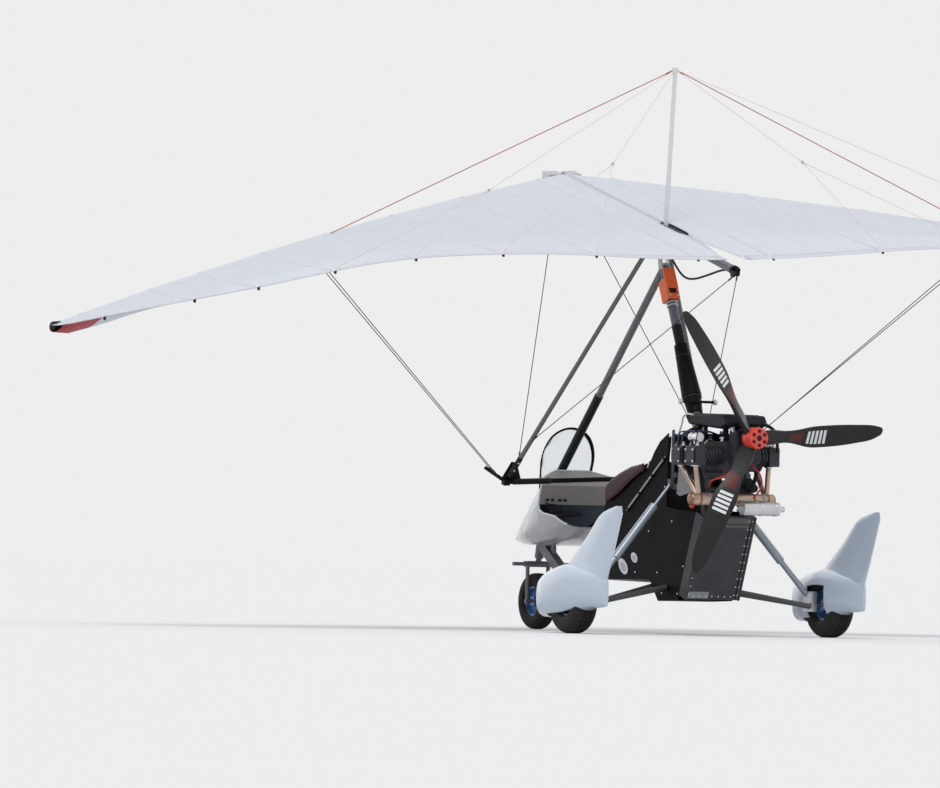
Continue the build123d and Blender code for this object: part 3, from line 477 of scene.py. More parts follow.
def pod_painted_light(colours):
    """The pod's gelcoat with painted light: a pale painted sky reflection over silver grey painted
    shade, parted by a dark line that runs down aft.

    The height over the line is 0.9023 z less 0.4315 y less 0.9507, in metres.
    """
    made = finish("pod_gelcoat", colours.pod, rough=0.25, mottle=0.04, mottle_size=0.3, coat=0.5,
                  dust=0.1)
    tree, skin, shade = shown_parts(made)
    place = add_node(tree, "TexCoord")
    height = add_node(tree, "VectorMath", {0: place.outputs["Object"], 1: POD_LINE_WAY},
                      operation="DOT_PRODUCT").outputs["Value"]
    # Above the first line the deck takes the spat colour as painted sky reflection; below it the
    # pod colour is painted shade.
    over = maths(tree, "GREATER_THAN", height, POD_LINES[0])
    line = line_mask(tree, height, POD_LINES, 0.005)
    for mask, colour in ((over, colours.spat), (line, (0.02, 0.06, 0.16))):
        shade = laid_over(tree, mask, shade, (*colour, 1))
    feed(tree, skin, {"Base Color": shade})
    return made


def sail_cloth(colours):
    """Close-woven sailcloth that lets some light through.

    The map's first number is the station along the span and its second the distance along the
    skin, aft over the top and forward below, in metres. Panel seams and a double seam along the
    span follow those numbers, and the lower skin of the tip panels is red.
    """
    made = finish("sail_cloth", colours.sail, rough=0.55, mottle=0.025, mottle_size=0.5,
                  sheen=0.15)
    tree, skin, shade = shown_parts(made)
    cut = add_node(tree, "UVMap", uv_map="cloth").outputs["UV"]
    parts = add_node(tree, "SeparateXYZ", {"Vector": cut})
    station, along = parts.outputs["X"], parts.outputs["Y"]
    seams = maths(tree, "MAXIMUM", line_mask(tree, station, PANEL_SEAMS, 0.0022),
                  line_mask(tree, along, LONG_SEAMS, 0.0016))
    shade = laid_over(tree, seams, shade, tinted(colours.sail, -0.18))
    tip = maths(tree, "MULTIPLY", maths(tree, "LESS_THAN", along, -0.02),
                maths(tree, "GREATER_THAN", station, TIP_PANEL))
    shade = laid_over(tree, tip, shade, (*colours.tip_red, 1))
    weave = add_node(tree, "TexWave", {"Vector": cut, "Scale": 150, "Distortion": 0.3})
    cross = add_node(tree, "TexWave", {"Vector": cut, "Scale": 150}, bands_direction="Y")
    threads = maths(tree, "ADD", weave.outputs["Fac"], cross.outputs["Fac"])
    feed(tree, skin, {"Base Color": shade, "Normal": relief(tree, threads, 0.08, 0.0005)})
    glow = add_node(tree, "BsdfTranslucent", {"Color": shade})
    show_blend(tree, 0.22, skin.outputs["BSDF"], glow.outputs["BSDF"])
    return made


def clear_screen(colour):
    """Thin clear plastic: it shows what is behind it and shines at a slant."""
    made, tree, skin = blank("clear_screen")
    feed(tree, skin, {"Base Color": (*colour, 1), "Roughness": 0.10, "Specular IOR Level": 0.8})
    clear = add_node(tree, "BsdfTransparent", {"Color": (0.93, 0.95, 0.96, 1)})
    slant = add_node(tree, "LayerWeight", {"Blend": 0.04})
    place = add_node(tree, "TexCoord")
    smear = add_node(tree, "TexNoise", {"Vector": place.outputs["Object"], "Scale": 9})
    cloudy = ranged(tree, smear.outputs["Fac"], 0.015, 0.03)
    share = maths(tree, "ADD", slant.outputs["Fresnel"], cloudy)
    show_blend(tree, share, clear.outputs["BSDF"], skin.outputs["BSDF"])
    return made


# Settings

class MicrolightColours(bpy.types.PropertyGroup):
    sail: FloatVectorProperty(name="Sail", description="The sailcloth's colour", subtype="COLOR",
                              default=(0.76, 0.79, 0.85), min=0, max=1)
    tip_red: FloatVectorProperty(name="Tip red", description="The tip panels' lower skin",
                                 subtype="COLOR", default=(0.45, 0.02, 0.04), min=0, max=1)
    rigging: FloatVectorProperty(name="Rigging", description="The stays' sleeve colour",
                                 subtype="COLOR", default=(0.35, 0.05, 0.035), min=0, max=1)
    # The spats' white gelcoat, darkened by painted shade and tinted pale blue by a painted sky
    # reflection.
    spat: FloatVectorProperty(name="Spats", description="The gelcoat of the spats and pod's deck",
                              subtype="COLOR", default=(0.49, 0.56, 0.67), min=0, max=1)
    # The pod's lower part: its gelcoat darkened by painted shade.
    pod: FloatVectorProperty(name="Pod", description="The gelcoat of the pod's lower part",
                             subtype="COLOR", default=(0.40, 0.41, 0.44), min=0, max=1)
    seat: FloatVectorProperty(name="Seats", description="The seats' cloth", subtype="COLOR",
                              default=(0.020, 0.018, 0.022), min=0, max=1)
    seat_wine: FloatVectorProperty(name="Seat leather", description="The front seat's leather",
                                   subtype="COLOR", default=(0.040, 0.008, 0.012), min=0, max=1)
    clamp: FloatVectorProperty(name="Mast clamp", description="The clamp's colour",
                               subtype="COLOR", default=(0.90, 0.13, 0.02), min=0, max=1)
    rim: FloatVectorProperty(name="Rims", description="The wheel rims' paint", subtype="COLOR",
                             default=(0.10, 0.22, 0.45), min=0, max=1)


class MicrolightSizes(bpy.types.PropertyGroup):
    batten_height: FloatProperty(name="Batten height", unit="LENGTH", default=0.004, min=0,
                                 max=0.02, description="How far a batten lifts the upper skin")
    cloth_thickness: FloatProperty(name="Cloth thickness", unit="LENGTH", default=0.0012,
                                   min=0.0003, max=0.005, description="The sail's thickness")
    strand: FloatProperty(name="Luff line radius", unit="LENGTH", default=0.0016, min=0.0005,
                          max=0.01, description="The luff lines' radius")
    stay: FloatProperty(name="Stay radius", unit="LENGTH", default=0.0026, min=0.001, max=0.01,
                        description="The stays' radius with their sleeves")


def settings():
    """The scene's colours and sizes."""
    scene = bpy.context.scene
    return scene.microlight_colours, scene.microlight_sizes


# Stage

def sight(yaw, pitch, roll):
    """The camera's right, up and forward directions, in the model's frame."""
    forward = np.array([-sin(yaw) * cos(pitch), -cos(yaw) * cos(pitch), -sin(pitch)])
    right = np.array([-cos(yaw), sin(yaw), 0])
    up = np.cross(right, forward)
    return right * cos(roll) + up * sin(roll), up * cos(roll) - right * sin(roll), forward


# The photograph's camera: its yaw, pitch and roll, what it looks at and how far off that is,
# how far it stands to the left and up, and its focal length and picture width in pixels.
SIGHT_ANGLES = (0.498827, -0.01533545, 0.0219445)
SIGHT_AIM, SIGHT_OFF = np.array([0, 0.28, 1.3]), 55.514
SIGHT_LEFT, SIGHT_UP = 1.135086, 0.105902
FOCAL_PIXELS, PICTURE_PIXELS = 9471.7, 940
SENSOR = 36


def make_camera():
    """The camera at the photograph's place, far behind and to the left, low over the ground."""
    right, up, forward = sight(*SIGHT_ANGLES)
    place = SIGHT_AIM - forward * SIGHT_OFF - right * SIGHT_LEFT + up * SIGHT_UP
    lens = bpy.data.cameras.new("camera")
    lens.sensor_width, lens.lens = SENSOR, FOCAL_PIXELS * SENSOR / PICTURE_PIXELS
    lens.clip_start, lens.clip_end = 1, 400
    camera = bpy.data.objects.new("camera", lens)
    axes = Matrix([[*map(float, row)] for row in np.stack([right, up, -forward], 1)])
    camera.matrix_world = Matrix.Translation(Vector(place)) @ axes.to_4x4()
    bpy.context.scene.collection.objects.link(camera)
    bpy.context.scene.camera = camera


def seen_rays(tree):
    """One for rays from the camera, a mirror or a clear surface, and nothing for the rest."""
    rays = add_node(tree, "LightPath")
    total = rays.outputs["Is Camera Ray"]
    for other in ("Is Glossy Ray", "Is Transmission Ray"):
        total = maths(tree, "MAXIMUM", total, rays.outputs[other])
    return total


# Each row: the lamp's name, the way its light goes, its strength and its spread in degrees.
LAMPS = (("key_light", (-0.5, -0.62, -0.95), 1.45, 24),
         ("fill_light", (0.85, 0.15, -0.55), 0.45, 60),
         ("front_light", (-0.15, 0.9, -0.5), 0.40, 60))
# The sky's strength, and how light the paper floor and the backdrop are.
WORLD_LIGHT = 0.55
PAPER = 0.72
BACKDROP = 0.85
# How far the floor reaches to each side.
FLOOR_REACH = 150


def make_stage():
    """A pale floor and backdrop of one tone, and three far lamps that light the craft softly."""
    scene = bpy.context.scene
    scene.view_settings.view_transform = "Standard"
    world = bpy.data.worlds.new("studio")
    world.use_nodes = True
    scene.world = world
    tree = world.node_tree
    light = tree.nodes["Background"]
    feed(tree, light, {"Color": (0.96, 0.98, 1, 1), "Strength": WORLD_LIGHT})
    pale = add_node(tree, "Background", {"Color": (BACKDROP, BACKDROP, BACKDROP, 1)})
    show_blend(tree, seen_rays(tree), light.outputs["Background"], pale.outputs["Background"],
               "World Output")
    lit = WORLD_LIGHT * 0.98
    for name, aim, strength, spread in LAMPS:
        lamp = bpy.data.lights.new(name, "SUN")
        lamp.energy, lamp.angle = strength, radians(spread)
        lamp_object = bpy.data.objects.new(name, lamp)
        lamp_object.rotation_euler = Vector(aim).to_track_quat("-Z", "Y").to_euler()
        scene.collection.objects.link(lamp_object)
        lit += strength * -Vector(aim).normalized().z / pi
    make_floor(BACKDROP - PAPER * lit)


def make_floor(lift):
    """The paper floor. Seen directly, it glows a little, to meet the backdrop's tone."""
    ground, tree, skin = blank("floor_paper")
    tree.nodes.remove(skin)
    paper = add_node(tree, "BsdfDiffuse", {"Color": (PAPER, PAPER, PAPER, 1)})
    glow = add_node(tree, "Emission", {"Color": (lift, lift, lift, 1),
                                       "Strength": seen_rays(tree)})
    total = add_node(tree, "AddShader", {0: paper.outputs["BSDF"], 1: glow.outputs["Emission"]})
    feed(tree, tree.nodes["Material Output"], {"Surface": total.outputs["Shader"]})
    mesh = bpy.data.meshes.new("floor")
    corners = [(x * FLOOR_REACH, y * FLOOR_REACH, 0) for x, y in
               ((-1, -1), (1, -1), (1, 1), (-1, 1))]
    mesh.from_pydata(corners, [], [(0, 1, 2, 3)])
    mesh.materials.append(ground)
    floor = bpy.data.objects.new("floor", mesh)
    bpy.context.scene.collection.objects.link(floor)


# The slack cord under the keel: its route's points, from the hang block aft to the tail fitting.
KEEL_CORD_ROUTE = [(0, 0.276, 2.251), (0.003, 0.364, 2.179), (0.009, 0.485, 2.089),
                   (0.012, 0.614, 2.070), (0.006, 0.811, 2.102), (0, 0.937, 2.127),
                   (-0.006, 1.054, 2.126)]


def make_keel_cord():
    """The slack cord as one smooth spline through its route's control points."""
    curve = bpy.data.curves.new("keel_cord_sleeve", "CURVE")
    curve.dimensions = "3D"
    line = curve.splines.new("NURBS")
    line.points.add(len(KEEL_CORD_ROUTE) - 1)
    flat = [v for p in KEEL_CORD_ROUTE for v in (*p, 1.0)]
    line.points.foreach_set("co", flat)
    line.order_u = 3
    line.use_endpoint_u = True
    line.resolution_u = 16
    curve.bevel_depth, curve.bevel_resolution = 0.0065, 4
    curve.use_fill_caps = True
    curve.materials.append(look("cord_sleeve"))
    cord = bpy.data.objects.new("keel_cord_sleeve", curve)
    bpy.context.scene.collection.objects.link(cord)
    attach(cord, "wing")
    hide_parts("keel_cord")


# Sails

# Each row: station along the span, trailing edge's y and z, crest over the chord line.
SAIL_ROWS = np.array([(0, 0.865, 0.064, 0.040), (0.45, 0.895, 0.084, 0.042),
                      (1.3, 0.945, 0.138, 0.040), (2.3, 1.008, 0.128, 0.036),
                      (3.25, 1.130, 0.012, 0.028), (4.0, 1.205, -0.085, 0.022),
                      (4.5, 1.180, -0.180, 0.014)])
# The part of the chord where the crest stands, over the leading edge's tube.
CREST_PART = 0.06
# The stations of the battens, whose rear ends show at the trailing edge.
BATTENS = (0.25, 0.95, 1.58, 2.16, 2.70, 3.21, 3.63, 4.19)
# The stations of the seams across the sail, and how far along the skin the double seam lies.
PANEL_SEAMS = (0.60, 1.28, 1.88, 2.44, 2.96, 3.43, 3.92)
LONG_SEAMS = (0.31, 0.325)
# The station where the red tip panel starts below, and those where the cloth and its hem end.
TIP_PANEL = 4.2
SAIL_END = 4.42
HEM_END = 4.40
# The tip cap's station, and how far out its own origin is.
CAP_STATION = 4.39
CAP_X = 4.386


def sail_point(station, part, lower=False):
    """A point of the sail's skin at a station and at a part of the chord from the front.

    The upper skin is a quarter of an ellipse up to the crest, over the leading edge's tube, and
    then runs nearly straight to the hem, sinking a little halfway. The lower skin hangs a quarter
    of the crest under the chord line at the front, and more under the tip's panels.
    """
    station, part = np.broadcast_arrays(np.asarray(station, float), np.asarray(part, float))
    trail_y, trail_z, crest = read_off(SAIL_ROWS, station)
    lead_y, lead_z = -1.33 + 0.526 * station, -0.014 - 0.0112 * station ** 2
    front = np.clip(part / CREST_PART, 0, 1)
    back = np.clip((part - CREST_PART) / (1 - CREST_PART), 0, 1)
    if lower:
        panel = np.clip((station - 3.4) / 0.7, 0, 1) * np.clip((4.52 - station) / 0.2, 0, 1)
        height = -0.25 * crest * np.sqrt(front) * (1 - back)
        height = height - 0.060 * panel * np.sin(pi * part ** 0.7)
    else:
        sag = 0.012 * np.clip(station / 2.0, 0, 1) * np.clip((4.5 - station) / 1.0, 0, 1)
        height = crest * np.sqrt(1 - (1 - front) ** 2) * (1 - back) + 0.002 * back
        height = height - sag * np.sin(pi * back)
    y = lead_y + part * (trail_y - lead_y)
    z = lead_z + part * (trail_z - lead_z) + height
    return station, y, z


def sail_half(side, sizes):
    """One half's cloth, a row of points round the skin for each station.

    Each row starts on the lower skin, at two thirds of the chord and nearly at the hem under the
    tip panels. It goes forward round the leading edge and aft over the top to the trailing edge.
    Battens lift the upper skin in low ridges and the cloth sinks a little between them. The
    root's edge leaves a slot behind the kingpost.
    """
    fine = [b + d for b in BATTENS for d in (-0.022, -0.011, 0, 0.011, 0.022)]
    stations = np.concatenate([np.arange(0, 4.38, 0.06), fine, [SAIL_END]])
    stations = np.unique(np.round(stations, 4))
    reach = 0.668 + 0.3 * np.clip((stations[:, None] - 3.2) / 0.5, 0, 1)
    below = 0.012 + np.linspace(1, 0, 26) * reach
    above = np.concatenate([[0.0, 0.0008, 0.003, 0.007, 0.013, 0.021, 0.032, 0.045, 0.06, 0.08],
                            np.linspace(0.11, 0.97, 34), [0.985, 1.0]])
    s = stations[:, None]
    low, top = sail_point(s, below, lower=True), sail_point(s, above[None])
    gap = np.abs(s - np.array(BATTENS)[None]).min(axis=1, keepdims=True)
    ridge = sizes.batten_height * np.exp(-(gap / 0.012) ** 2)
    sink = -0.006 * np.clip(gap / 0.3, 0, 1) ** 2 * np.clip(s / 0.3, 0, 1)
    lift = (ridge + sink) * np.sin(pi * np.clip(above[None], 0, 1)) ** 0.5
    x = np.concatenate([low[0], top[0]], 1)
    y = np.concatenate([low[1], top[1]], 1)
    z = np.concatenate([low[2], top[2] + lift], 1)
    slot = 0.034 * np.clip((y[0] + 0.03) / 0.03, 0, 1) * np.clip((0.27 - y[0]) / 0.05, 0, 1)
    vee = 0.075 * np.clip((y[0] - 0.46) / 0.42, 0, 1)
    over = np.arange(x.shape[1]) >= below.shape[1]
    x[0] = np.maximum(np.where(over, np.maximum(slot, vee), vee), 0.0015)
    points = np.stack([x * side, y, z], -1)
    run = np.concatenate([[0], np.cumsum(np.linalg.norm(np.diff(points[3], axis=0), axis=1))])
    run -= run[below.shape[1]]
    uv = np.stack(np.broadcast_arrays(s, run[None]), -1).reshape(-1, 2)
    return flipped(sheet_grid(on_wing(points)), side > 0), uv


def on_sail(side, stations, parts, lift):
    """Points just over the upper skin."""
    s, y, z = sail_point(np.asarray(stations, float), np.asarray(parts, float))
    return on_wing(np.stack([s * side, y, z + lift], -1))


# A batten pocket's section: how far off the batten, and how high over the skin.
POCKET = ((-0.017, 0.0005), (-0.009, 0.0052), (0.009, 0.0052), (0.017, 0.0005))
# The hem's section: the part of the chord, and how high over the skin.
HEM = ((0.965, 0.0022), (1.0, 0.003), (1.004, 0.0), (1.0, -0.003), (0.965, -0.0045))


def make_sails():
    """Both halves of the sail, their batten pockets and the hem along the trailing edge."""
    colours, sizes = settings()
    cloth = sail_cloth(colours)
    tape = finish("seam_tape", tinted(colours.sail, -0.20), rough=0.5, mottle=0.02)
    for side, name in ((1, "left"), (-1, "right")):
        shape, uv = sail_half(side, sizes)
        sail = piece("sail_cloth_" + name, shape, cloth, "wing", ("sail_" + name,),
                     thick=sizes.cloth_thickness, uv=uv)
        parts = np.linspace(0.03, 0.985, 50)
        strips = []
        for at in BATTENS:
            edges = [on_sail(side, np.full(50, at + off), parts, lift) for off, lift in POCKET]
            strips.append(flipped(sheet_grid(np.stack(edges, 1)), side > 0))
        piece("batten_pockets_" + name, joined(strips), tape, "wing", thick=0.0008,
              closed=False)
        s = np.linspace(0.09, HEM_END, 90)
        hem = [on_sail(side, s, np.full(90, part), lift) for part, lift in HEM]
        piece("trailing_hem_" + name, flipped(sheet_grid(np.stack(hem, 1)), side > 0),
              tape, "wing", thick=0.001, closed=False)
        mesh = sail.data
        spots = np.zeros(len(mesh.vertices) * 3)
        mesh.vertices.foreach_get("co", spots)
        spots = spots.reshape(-1, 3)


# Shells

# Each row: y, then half width and height at the floor, the belt, the shoulder and the deck.
POD_ROWS = np.array([
    (-1.450, 0.014, 0.528, 0.020, 0.542, 0.014, 0.556, 0.007, 0.570),
    (-1.330, 0.052, 0.512, 0.078, 0.556, 0.046, 0.640, 0.012, 0.700),
    (-1.200, 0.100, 0.506, 0.148, 0.556, 0.084, 0.700, 0.018, 0.800),
    (-1.000, 0.195, 0.503, 0.255, 0.556, 0.156, 0.775, 0.046, 0.930),
    (-0.800, 0.235, 0.506, 0.312, 0.562, 0.262, 0.780, 0.140, 0.955),
    (-0.656, 0.245, 0.520, 0.314, 0.572, 0.308, 0.790, 0.262, 0.950),
    (-0.500, 0.240, 0.545, 0.314, 0.590, 0.312, 0.790, 0.280, 0.950),
    (-0.340, 0.225, 0.612, 0.306, 0.636, 0.306, 0.790, 0.280, 0.950)])
# The cockpit's edge from the deck back and down, (y, z).
POD_LIP = np.array([(-0.905, 0.990), (-0.700, 0.905), (-0.656, 0.868), (-0.650, 0.745),
                    (-0.635, 0.715), (-0.584, 0.694), (-0.447, 0.677), (-0.384, 0.651),
                    (-0.330, 0.626)])


def pod_skin():
    """The pod's skin and its lip: rows of a section with four rounded corners a side.

    A corner is a quadratic curve between points 35 hundredths of the way to its neighbours. A row
    runs from the left lip, or the deck's middle, down round the floor and up the other side.
    """
    y = np.concatenate([np.linspace(-1.45, -0.34, 72), POD_LIP[:-1, 0], [-0.82]])
    y = np.unique(np.round(y, 4))
    table = np.stack(read_off(POD_ROWS, y), 1).reshape(-1, 4, 2)
    low, high = table[:, :1] * [0, 1], table[:, 3:] * [0, 1]
    corners = np.concatenate([low, table, high], 1)
    here, before, after = corners[:, 1:-1, None], corners[:, :-2, None], corners[:, 2:, None]
    t = np.linspace(0, 1, 9)[:, None]
    start, end = here + 0.35 * (before - here), here + 0.35 * (after - here)
    curve = (1 - t) ** 2 * start + 2 * t * (1 - t) * here + t ** 2 * end
    path = np.concatenate([low, curve.reshape(len(y), -1, 2), high], 1)
    steps = np.linalg.norm(np.diff(path, axis=1), axis=2)
    run = np.concatenate([np.zeros((len(y), 1)), np.cumsum(steps, 1)], 1)
    tops = np.interp(y, POD_LIP[:, 0], POD_LIP[:, 1], left=2.0)
    cut = np.array([np.interp(top, line[:, 1], length)
                    for top, line, length in zip(tops, path, run)])
    at = cut[:, None] * np.linspace(0, 1, 50)
    half = np.stack([[np.interp(a, length, line[:, k]) for a, line, length in zip(at, path, run)]
                     for k in (0, 1)], -1)
    whole = np.concatenate([half[:, :0:-1] * [-1, 1], half], 1)
    points = np.insert(whole, 1, y[:, None], axis=2)
    skin, faces = sheet_grid(points)
    faces.append(list(range(points.shape[1])))
    open_rows = y > -0.818
    edge = np.concatenate([points[open_rows, -1][::-1], points[open_rows, 0]])
    return (skin, faces), edge


# Each row: y, half width, lowest and highest point of a wheel's spat.
SPAT_ROWS = np.array([(0.402, 0.014, 0.200, 0.292), (0.450, 0.060, 0.112, 0.318),
                      (0.530, 0.088, 0.092, 0.352), (0.650, 0.104, 0.088, 0.384),
                      (0.780, 0.108, 0.096, 0.404), (0.900, 0.100, 0.120, 0.386),
                      (1.000, 0.076, 0.146, 0.364), (1.100, 0.044, 0.154, 0.344),
                      (1.178, 0.009, 0.162, 0.318)])
# The angles round a spat's section where it starts, and where its inner side and its underside do.
SPAT_START, SPAT_SIDE, SPAT_UNDER = -50.6, 165.1, 230.6
# From where to where its underside is open round the tyre, and its inner side at the stub axle.
TYRE_GAP, AXLE_GAP = (0.6, 0.94), (0.69, 0.88)
# How far to the left it stands.
SPAT_X = 0.86
# Each row: height, front y, rear y and half thickness of the spat's fin.
FIN_ROWS = np.array([(0.290, 0.690, 1.160, 0.044), (0.400, 0.708, 1.217, 0.024),
                     (0.550, 0.918, 1.279, 0.016), (0.700, 1.085, 1.338, 0.009),
                     (0.738, 1.262, 1.328, 0.005)])


def spat_skin():
    """A spat: rows of rounded squares, |x/a| and |z/b| to the power 2.8 adding up to one.

    Its underside is open round the tyre, and its inner side where the stub axle comes in.
    """
    turn = np.radians(np.concatenate([
        np.linspace(SPAT_START, SPAT_SIDE, 46), np.linspace(SPAT_SIDE, SPAT_UNDER, 15)[1:],
        np.linspace(SPAT_UNDER, SPAT_START + 360, 19)[1:-1]]))
    y = np.concatenate([0.402 + 0.05 * np.linspace(0, 1, 9) ** 1.6,
                        np.linspace(0.46, 1.178, 60), TYRE_GAP, AXLE_GAP])
    y = np.unique(np.round(y, 4))
    half, low, high = (column[:, None] for column in read_off(SPAT_ROWS, y))
    power = 2 / 2.8
    x = half * np.sign(np.cos(turn)) * np.abs(np.cos(turn)) ** power
    z = (low + high) / 2 + (high - low) / 2 * np.sign(np.sin(turn)) * np.abs(np.sin(turn)) ** power
    points = np.stack([x + SPAT_X, np.broadcast_to(y[:, None], x.shape), z], -1).reshape(-1, 3)
    quads = grid_faces(len(y), len(turn), ring=True)
    row = (y[1:] + y[:-1]) / 2
    column = np.append(turn[:-1] + turn[1:], turn[-1] + turn[0] + 2 * pi) / 2
    row, column = (m.ravel() for m in np.meshgrid(row, column, indexing="ij"))
    under = (row > TYRE_GAP[0]) & (row < TYRE_GAP[1]) & (column > radians(SPAT_UNDER))
    inside = (row > AXLE_GAP[0]) & (row < AXLE_GAP[1])
    inside &= (column > radians(SPAT_SIDE)) & (column < radians(SPAT_UNDER))
    faces = [quad for quad, drop in zip(quads, under | inside) if not drop]
    last = len(points) - len(turn)
    faces += [list(range(len(turn))), list(range(last, len(points)))[::-1]]
    return points, faces


def fin_skin():
    """The fin: level lens sections, each as thick as (4t(1-t)) to the power 0.6 along its chord.

    Its edges are the table's straight runs, averaged over 30 mm up and down.
    """
    z = np.concatenate([np.linspace(0.31, 0.69, 24), [0.705, 0.718, 0.729, 0.735, 0.738]])
    near = z[:, None] + np.linspace(-0.03, 0.03, 7) * np.clip((0.735 - z[:, None]) / 0.05, 0, 1)
    front, rear, half = (np.interp(near, FIN_ROWS[:, 0], FIN_ROWS[:, k]).mean(1)[:, None]
                         for k in (1, 2, 3))
    t = 0.5 - 0.5 * np.cos(np.linspace(0, pi, 26))
    t = np.concatenate([t, t[-2:0:-1]])
    side = np.where(np.arange(len(t)) < 26, 1, -1)
    x = SPAT_X + side * half * (4 * t * (1 - t)) ** 0.6
    y = front + t * (rear - front)
    points = np.stack([x, y, np.broadcast_to(z[:, None], x.shape)], -1).reshape(-1, 3)
    faces = grid_faces(len(z), len(t), ring=True)
    faces += [list(range(len(t))), list(range(len(points) - len(t), len(points)))]
    return points, faces


def make_shells():
    """The pod's skin with its lip, and the two spats with their fins."""
    colours = settings()[0]
    pod = pod_painted_light(colours)
    skin, edge = pod_skin()
    piece("pod_skin", skin, pod, "trike", ("pod",), thick=0.004, closed=False,
          weld=True, inward=True)
    piece("pod_lip", pipe(edge, 0.006, 10), "lip_gelcoat", "trike")
    for name, twin in (("left", lambda shape: shape), ("right", mirrored)):
        piece("spat_skin_" + name, twin(spat_skin()), "spat_gelcoat", "trike",
              ("spat_" + name,), thick=0.0035, closed=False, inward=True)
        piece("spat_fin_" + name, twin(fin_skin()), "spat_gelcoat", "trike")
        # A pale bead down each fin's rear edge is a painted highlight.
        z = np.linspace(0.42, 0.70, 12)
        y = np.interp(z, FIN_ROWS[:, 0], FIN_ROWS[:, 2]) - 0.0015
        rear = np.stack([np.full(12, SPAT_X), y, z], 1)
        piece("fin_edge_" + name, twin(pipe(rear, 0.0022, 8)), "lip_gelcoat", "trike")


# Wheels

# How many steps there are round a tyre, and every how many its shoulders are cut across.
TYRE_STEPS = 216
CUT_EVERY = 6
# The tyre bead's radius.
BEAD = 0.088


def tyre_skin(radius, half, centre, grooves):
    """A tyre's section turned about its axle: a flat crown between round shoulders.

    Grooves run round it and its shoulders are cut across 36 times. Depth is taken from the crown's
    radius where the distance to a groove is under its half width.
    """
    flange, round_r = BEAD + 0.22 * (radius - BEAD), min(0.47 * (radius - BEAD), 0.9 * half)
    arc = np.linspace(0, pi / 2, 9)
    side = np.concatenate([[(0.62 * half, BEAD), (0.9 * half, 0.6 * BEAD + 0.4 * flange),
                            (half, flange), (half, (flange + radius - round_r) / 2)],
                           np.stack([half - round_r * (1 - np.cos(arc)),
                                     radius - round_r * (1 - np.sin(arc))], 1)])
    edges = np.concatenate([[g - 0.0032, g - 0.002, g + 0.002, g + 0.0032] for g in grooves])
    flat = np.unique(np.concatenate([edges, np.linspace(0, half - round_r, 5)[:-1]]))
    flat = flat[(flat < half - round_r) & (flat >= 0)]
    crown = np.stack([flat, np.full(len(flat), radius)], 1)
    right = np.concatenate([side, crown[::-1]])
    section = np.concatenate([right, right[::-1] * [-1, 1]])
    turn = np.linspace(0, 2 * pi, TYRE_STEPS, endpoint=False)
    x, height = section[:, :1], section[:, 1:]
    r = np.repeat(height, TYRE_STEPS, axis=1)
    for g in grooves:
        r -= 0.006 * (np.abs(np.abs(x) - g) < 0.0025)
    shoulder = (np.abs(x) > half - 1.35 * round_r) & (height > radius - 0.45 * round_r)
    r -= 0.005 * shoulder * (np.arange(TYRE_STEPS)[None] % CUT_EVERY == 0)
    points = np.stack([np.broadcast_to(x, r.shape), r * np.cos(turn), r * np.sin(turn)], -1)
    last = (len(section) - 1) * TYRE_STEPS
    wrap = [[last + k, k, (k + 1) % TYRE_STEPS, last + (k + 1) % TYRE_STEPS]
            for k in range(TYRE_STEPS)]
    faces = grid_faces(len(section), TYRE_STEPS, ring=True) + wrap
    return points.reshape(-1, 3) + np.asarray(centre), faces


# Each row: a tyre's name, its body, its radius, half its width, its centre, and its grooves.
WHEELS = (("front_tyre", "front_wheel", 0.168, 0.054, (0, -1.196, 0.168), (0.0, 0.016)),
          ("rear_tyre_left", "rear_wheel_left", 0.190, 0.075, (0.86, 0.78, 0.19), (0.0, 0.021)),
          ("rear_tyre_right", "rear_wheel_right", 0.190, 0.075, (-0.86, 0.78, 0.19),
           (0.0, 0.021)))


def make_wheels():
    """Grooved tyres, and the nuts and valves on the rims."""
    for name, body, radius, half, centre, grooves in WHEELS:
        piece(name + "_tread", tyre_skin(radius, half, centre, grooves), "tyre_rubber", body,
              (name,))
        centre = np.array(centre)
        parts = []
        for out in (1, -1):
            for angle in np.linspace(0, 2 * pi, 5, endpoint=False) + 0.6:
                at = centre + [out * 0.62 * half, 0.022 * cos(angle), 0.022 * sin(angle)]
                parts.append(turned([(0, 0.0045), (0.005, 0.0045), (0.0062, 0.0032)], at,
                                    (out, 0, 0), 6))
        parts.append(turned([(0, 0.004), (0.014, 0.004), (0.0145, 0.003), (0.022, 0.003)],
                            centre + [0.005, 0.062, 0.045], (1, 0, 0), 12))
        piece(name.replace("tyre", "nuts"), joined(parts), "nut_steel", body)


# Propeller

# The hub's centre, in metres.
PROP_CENTRE = np.array([0, 1.34, 1.148])
# Each row: radius, chord, thickness, pitch angle in degrees.
BLADE_ROWS = np.array([(0.046, 0.084, 0.040, 58), (0.100, 0.112, 0.038, 52),
                       (0.220, 0.084, 0.028, 42), (0.400, 0.140, 0.019, 29),
                       (0.490, 0.138, 0.016, 25), (0.680, 0.114, 0.011, 19),
                       (0.810, 0.078, 0.007, 16), (0.865, 0.036, 0.004, 15)])
BLADE_ANGLES = (55.5, 175.5, 295.5)
# Where a blade's white bars and its dark red band lie, by radius.
WHITE_BARS = (0.365, 0.392, 0.419, 0.446, 0.473)
RED_BAND = (0.282,)


